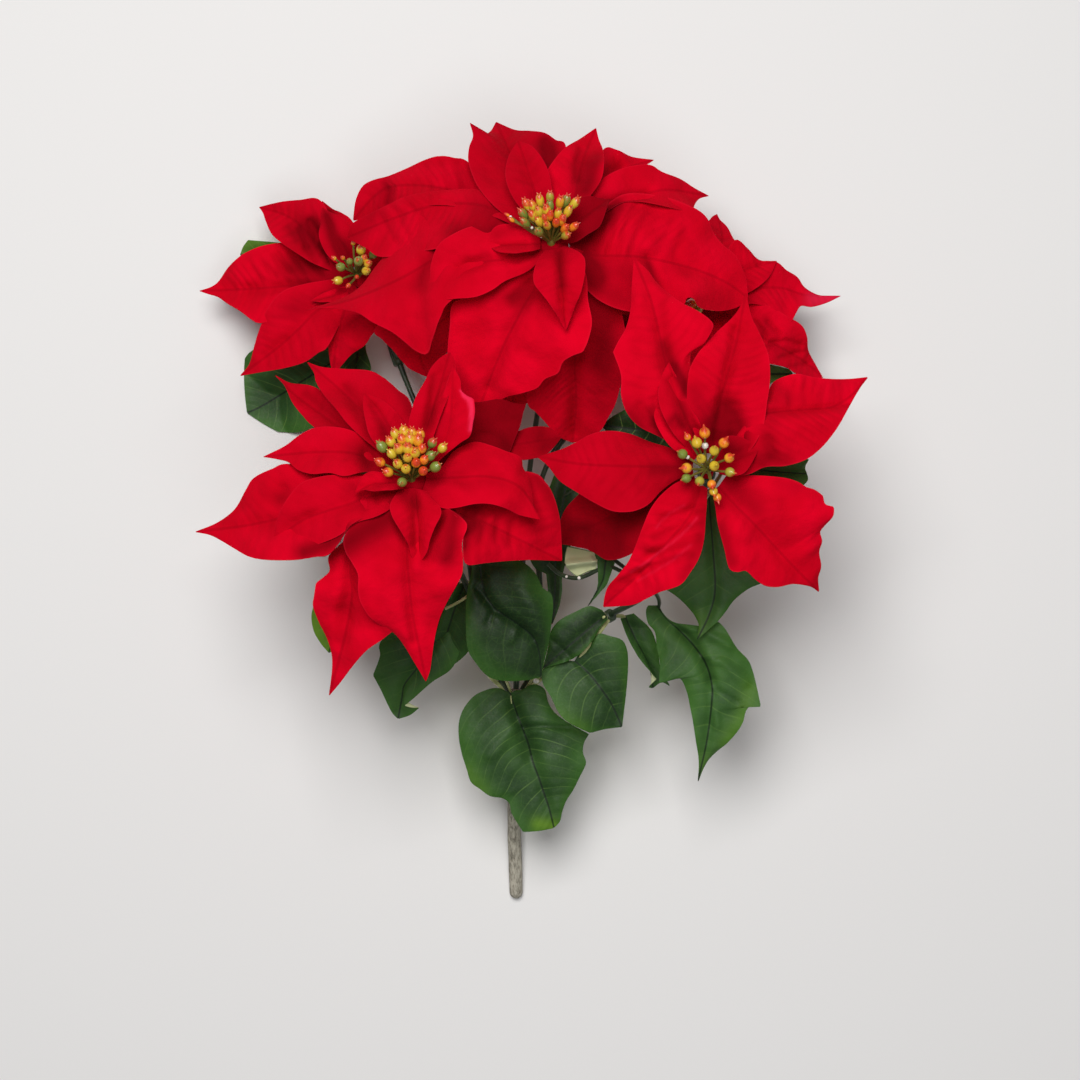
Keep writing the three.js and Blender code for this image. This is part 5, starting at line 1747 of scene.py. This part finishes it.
for turn, (letter, bloom) in enumerate(BLOOMS.items()):
    random = np.random.default_rng(BERRY_SEED + turn)
    berry, width = BUNCH_LOOKS[letter]
    rows = read_heads(letter, bloom)
    heads, aims, stalks = berry_places(rows, bloom, random)
    points = bpy.data.meshes.new("heads")
    points.from_pydata(((np.array(heads) - MIDDLE) * MM).tolist(), [], [])
    aim = points.attributes.new("aim", "FLOAT_VECTOR", "POINT")
    aim.data.foreach_set("vector", np.ravel(aims).astype(np.float32))
    columns = {
        "size": width * random.uniform(0.88, 1.1, len(heads)) * [row[4] for row in rows],
        "tone": [row[2] for row in rows],
        "rosy": [row[3] for row in rows],
    }
    for label, values in columns.items():
        points.attributes.new(label, "FLOAT", "POINT").data.foreach_set("value", np.array(values, np.float32))
    fruit = run_tree("fruit", points, bunch_tree, Berry=berry, Material=berry_gloss)
    dip = np.zeros((len(fruit.vertices), 3), np.float32)
    for part, label in enumerate(("rise", "tone", "rosy")):
        values = np.zeros(len(dip), np.float32)
        fruit.attributes[label].data.foreach_get("value", values)
        dip[:, part] = values
    fruit.attributes.new("dip", "FLOAT_VECTOR", "POINT").data.foreach_set("vector", dip.ravel())
    axis = unit(np.array(bloom["facing"], float))
    dome = (np.array(bloom["hub"], float) + axis * DOME_RISES[:, None], DOME_RADII)
    radii = np.linspace(0.8, 0.6, BERRY_STALK_POINTS)
    stems = tubes("stems", [(stalk, radii) for stalk in stalks] + [dome], 8, olive_stalk)
    meshes = [fruit, stems]
    if letter in GLUE_DROPS:
        meshes.append(tubes("drops", glue_drops(GLUE_DROPS[letter], stalks), 8, set_glue))
    bunch = join_meshes(f"bunch_{letter}", meshes)
    finish_piece(bunch, f"berries_{letter}")

# %% [markdown]
# ## The leaves
#
# A leaf is a blade with a heart-shaped base on a pale stalk, and a short collar holds the stalks of a set
# on its wire. The leaves use the same sheet rule as the bracts, with wider veins and less pleating. Some
# stalks came loose: each has the heights of its two ends, its thickness and its line in the picture.


# %% Make the leaf sets
def dress_leaf(row, label, number, random):
    """A row of the table with a leaf's own details."""
    return {
        **row,
        **read_outline(label),
        "shape": LEAF_SHAPE,
        "facing": (0, 0, -1) if row["under"] else (0, 0, 1),
        "spacing": 8.0,
        "pleat": 0.1,
        "strength": 1.0,
        "halves": (1, 1),
        "rib_depth": 1.8,
        "rib_reach": 3.2,
        "ruffle": random.uniform(0.4, 1.2),
        "waves": random.uniform(1.5, 2.5),
        "crumple": 3.0,
        "tip_bend": 0.0,
        "tone": random.uniform(0, 1),
        "blush": 0.0,
        "dark": 0.0,
        "seed": number * 5.3 + 100,
        **marks_of(label),
        **FINISH.get(label, {}),
    }


def collar_place(on, link):
    """The middle and direction of the straight link of stem that carries a collar."""
    on_trunk = on == "trunk"
    steps = TRUNK_STEPS if on_trunk else WIRE_STEPS
    track = catmull_rom(TRUNK_ROUTE, steps + 1) if on_trunk else branch_track(BLOOMS[on], steps + 1)
    return (track[link] + track[link + 1]) / 2, unit(track[link + 1] - track[link])


STALK_POINTS = 24
THIN_POINTS = 6
STRAND_RADIUS = 0.85
DARK_STALKS = ("leaves_5", "leaves_7", "leaves_8", "leaves_9", "leaves_10")
STRANDS = {"leaves_2": (-5.0, -3.4, 3.2), "leaves_4": (-3.4, 3.6)}
HIDDEN_TURNS = {"leaves_9": (376, 316)}
LOOSE_STALKS = {
    "leaves_2": (92, 92, 0.8, "462,566 463,577 474,588 474,590 462,600 445,609"),
    "leaves_4": (76, 46, 0.9, "560,655 546,668 536,681 522,698"),
    "leaves_5": (84, 94, 1.2, "548,564 560,574 578,578 600,569"),
}
LEAF_GLUE = {"leaves_4": "536,681,1.8", "leaves_5": "568,575,0.9 578,577,1.1"}


def strand_track(bloom, link, beside):
    """The path of a leaf stalk that runs down beside its wire into the crown."""
    track = branch_track(bloom)[: link * WIRE_POINTS // WIRE_STEPS]
    share = np.clip(np.linspace(0.15, 3, len(track)), 0, 1)[:, None]
    return track + np.array([beside, 0, 2.2]) * share


LEAF_SEED = 120
leaf_number = 0
for name, (on, link, rows) in LEAF_SETS.items():
    random = np.random.default_rng(LEAF_SEED + link * 7 + len(name))
    place, direction = collar_place(on, link)
    core = TRUNK_RADIUS if on == "trunk" else WIRE_RADIUS
    wall = core - WIRE_RADIUS + COLLAR_RADIUS
    parts, petioles = [], []
    for order, row in enumerate(rows):
        leaf_number += 1
        blade = dress_leaf(row, f"{name}-{order}", leaf_number, random)
        parts.append(sheet_part(blade, random))
        middle = lay_out(blade, np.array([[PETIOLE_LANDING]]), np.array([[0.0]]))[0][0, 0]
        outward = middle - place
        outward = unit(outward - direction * (outward @ direction)) * (wall - 0.8)
        halfway = (place + outward + middle) / 2 + unit(outward) * 2
        if name in HIDDEN_TURNS:
            halfway = under_picture(np.array(HIDDEN_TURNS[name], float), halfway[2])
        track = catmull_rom([place + outward, halfway, middle - np.array([0, 0, 0.9])], STALK_POINTS)
        thin_end = np.linspace(1.0, 0.5, THIN_POINTS)
        petioles.append((track, np.concatenate([np.full(STALK_POINTS - THIN_POINTS, PETIOLE_RADIUS), thin_end])))
    for beside in STRANDS.get(name, ()):
        track = strand_track(BLOOMS[on], link, beside)
        petioles.append((track, np.full(len(track), STRAND_RADIUS)))
    if name in LOOSE_STALKS:
        first, last, thick, text = LOOSE_STALKS[name]
        spots = catmull_rom([[*spot, 0.0] for spot in read_points(text)], STALK_POINTS)[:, :2]
        heights = np.linspace(first, last, STALK_POINTS)
        petioles.append((under_picture(spots, heights), np.full(STALK_POINTS, thick)))
    print(name, "has its collar at the picture point", seen_at(place[None, :]).round()[0])
    blades = build_mesh(f"{name}_blades", parts, [leaf_satin])
    stalks = tubes("stalks", petioles, 10, sleeve if name in DARK_STALKS else pale_stalk)
    half = COLLAR_LENGTH / 2
    ring_track = place + direction * np.array([-half, -half * 0.8, half * 0.8, half])[:, None]
    ring_mesh = tubes("ring", [(ring_track, wall - np.array([0.5, 0, 0, 0.5]))], 20, sleeve)
    meshes = [blades.data, stalks, ring_mesh]
    if name in LEAF_GLUE:
        meshes.append(tubes("drops", glue_drops(LEAF_GLUE[name], [track for track, _ in petioles]), 8, set_glue))
    bpy.data.objects.remove(blades)
    piece = join_meshes(f"leafage_{name[7:]}", meshes)
    finish_piece(piece, name)

# %% [markdown]
# ## The moulded stem
#
# The wires end in a short moulded stem. Its radius swells to the crown, its foot is rounded, and the bark
# is cut with long uneven grooves.


# %% Make the stem
BARK_RINGS = 90
BARK_SIDES = 28
END_TURNS = (0.25, 0.5, 0.8, 1.1, 1.35)


def dome_rings(ring, middle, outward, radius):
    """Rings that close an end of the stem, from the last ring out."""
    return [
        [middle + outward * radius * math.sin(turn) + (point - middle) * math.cos(turn) for point in ring]
        for turn in END_TURNS
    ]


def bark_body():
    """The stem as a closed part with a grooved surface."""
    track = catmull_rom(TRUNK_ROUTE, BARK_RINGS)
    forward = unit(np.gradient(track, axis=0))
    sideways = unit(np.cross(forward, np.array([0, 0, 1.0])))
    upward = np.cross(sideways, forward)
    travelled = np.concatenate([[0], np.cumsum(np.linalg.norm(np.diff(track, axis=0), axis=1))])
    ball = np.sqrt(np.maximum(0, CROWN_RADIUS ** 2 - (travelled[-1] - travelled) ** 2))
    radius = np.maximum(TRUNK_RADIUS, ball * 0.96)
    angles = np.arange(BARK_SIDES) * 2 * np.pi / BARK_SIDES
    rings = []
    for step in range(len(track)):
        ring = []
        for angle in angles:
            spot = Vector((math.cos(angle) * 2.2, math.sin(angle) * 2.2, travelled[step] * 0.035))
            groove = noise.noise(spot) * 0.35 + noise.noise(spot * 2.7) * 0.2
            reach = radius[step] - 0.15 + groove * min(1, travelled[step] / 4)
            way = sideways[step] * math.cos(angle) + upward[step] * math.sin(angle)
            ring.append(track[step] + way * reach)
        rings.append(ring)
    foot = dome_rings(rings[0], track[0], -forward[0], TRUNK_RADIUS)
    head = dome_rings(rings[-1], track[-1], forward[-1], CROWN_RADIUS)
    rings = foot[::-1] + rings + head
    ends = [track[0] - forward[0] * TRUNK_RADIUS, track[-1] + forward[-1] * CROWN_RADIUS]
    points = np.array([ends[0], *sum(rings, []), ends[1]])
    points[:, 2] = np.maximum(points[:, 2], 0.05)
    faces = []
    last = len(points) - 1
    for side in range(BARK_SIDES):
        after = (side + 1) % BARK_SIDES
        faces.append([0, 1 + side, 1 + after])
        faces.append([last, last - BARK_SIDES + after, last - BARK_SIDES + side])
        for ring in range(len(rings) - 1):
            low = 1 + ring * BARK_SIDES
            high = low + BARK_SIDES
            faces.append([low + side, high + side, high + after, low + after])
    return points, faces


stem_points, stem_faces = bark_body()
stem_mesh = bpy.data.meshes.new("stem")
stem_mesh.from_pydata(((stem_points - MIDDLE) * MM).tolist(), [], stem_faces)
stem_mesh.polygons.foreach_set("use_smooth", np.ones(len(stem_mesh.polygons), bool))
stem_mesh.materials.append(bark)
stem = bpy.data.objects.new("stem", stem_mesh)
scene.collection.objects.link(stem)
finish_piece(stem, "trunk")

# %% [markdown]
# ## Floor and light
#
# A plain pale floor and soft studio light: one large softbox above and to the upper left, a weaker one on
# the right, and a dim pale world so that the folds between the bracts stay dark.

# %% Make the floor and lights
FLOOR_HALF = 4.0
FLOOR_LEVEL = -0.0005
floor_mesh = bpy.data.meshes.new("floor")
corners = [(-1, -1), (1, -1), (1, 1), (-1, 1)]
floor_mesh.from_pydata([(x * FLOOR_HALF, y * FLOOR_HALF, FLOOR_LEVEL) for x, y in corners], [], [(0, 1, 2, 3)])
floor = bpy.data.objects.new("floor", floor_mesh)
scene.collection.objects.link(floor)
floor_material, _, shader, _ = new_material("pale_floor")
shader.inputs["Base Color"].default_value = (0.78, 0.77, 0.76, 1)
shader.inputs["Roughness"].default_value = 0.8
floor_mesh.materials.append(floor_material)


def softbox(name, place, size, watts, colour):
    """A square area light that faces the middle of the bush."""
    data = bpy.data.lights.new(name, "AREA")
    data.shape = "SQUARE"
    data.size = size
    data.energy = watts
    data.color = colour
    light = bpy.data.objects.new(name, data)
    light.location = place
    aim = Vector((0, 0, 0.08)) - Vector(place)
    light.rotation_euler = aim.to_track_quat("-Z", "Y").to_euler()
    scene.collection.objects.link(light)


softbox("key_light", (-0.22, 0.7, 2.0), 1.1, 40, (1.0, 0.99, 0.98))
softbox("fill_light", (0.3, -0.6, 2.1), 1.0, 8, (0.97, 0.98, 1.0))
world = bpy.data.worlds.new("studio")
world.use_nodes = True
backdrop = world.node_tree.nodes["Background"]
backdrop.inputs["Color"].default_value = (0.9, 0.92, 0.95, 1)
backdrop.inputs["Strength"].default_value = 0.12
scene.world = world
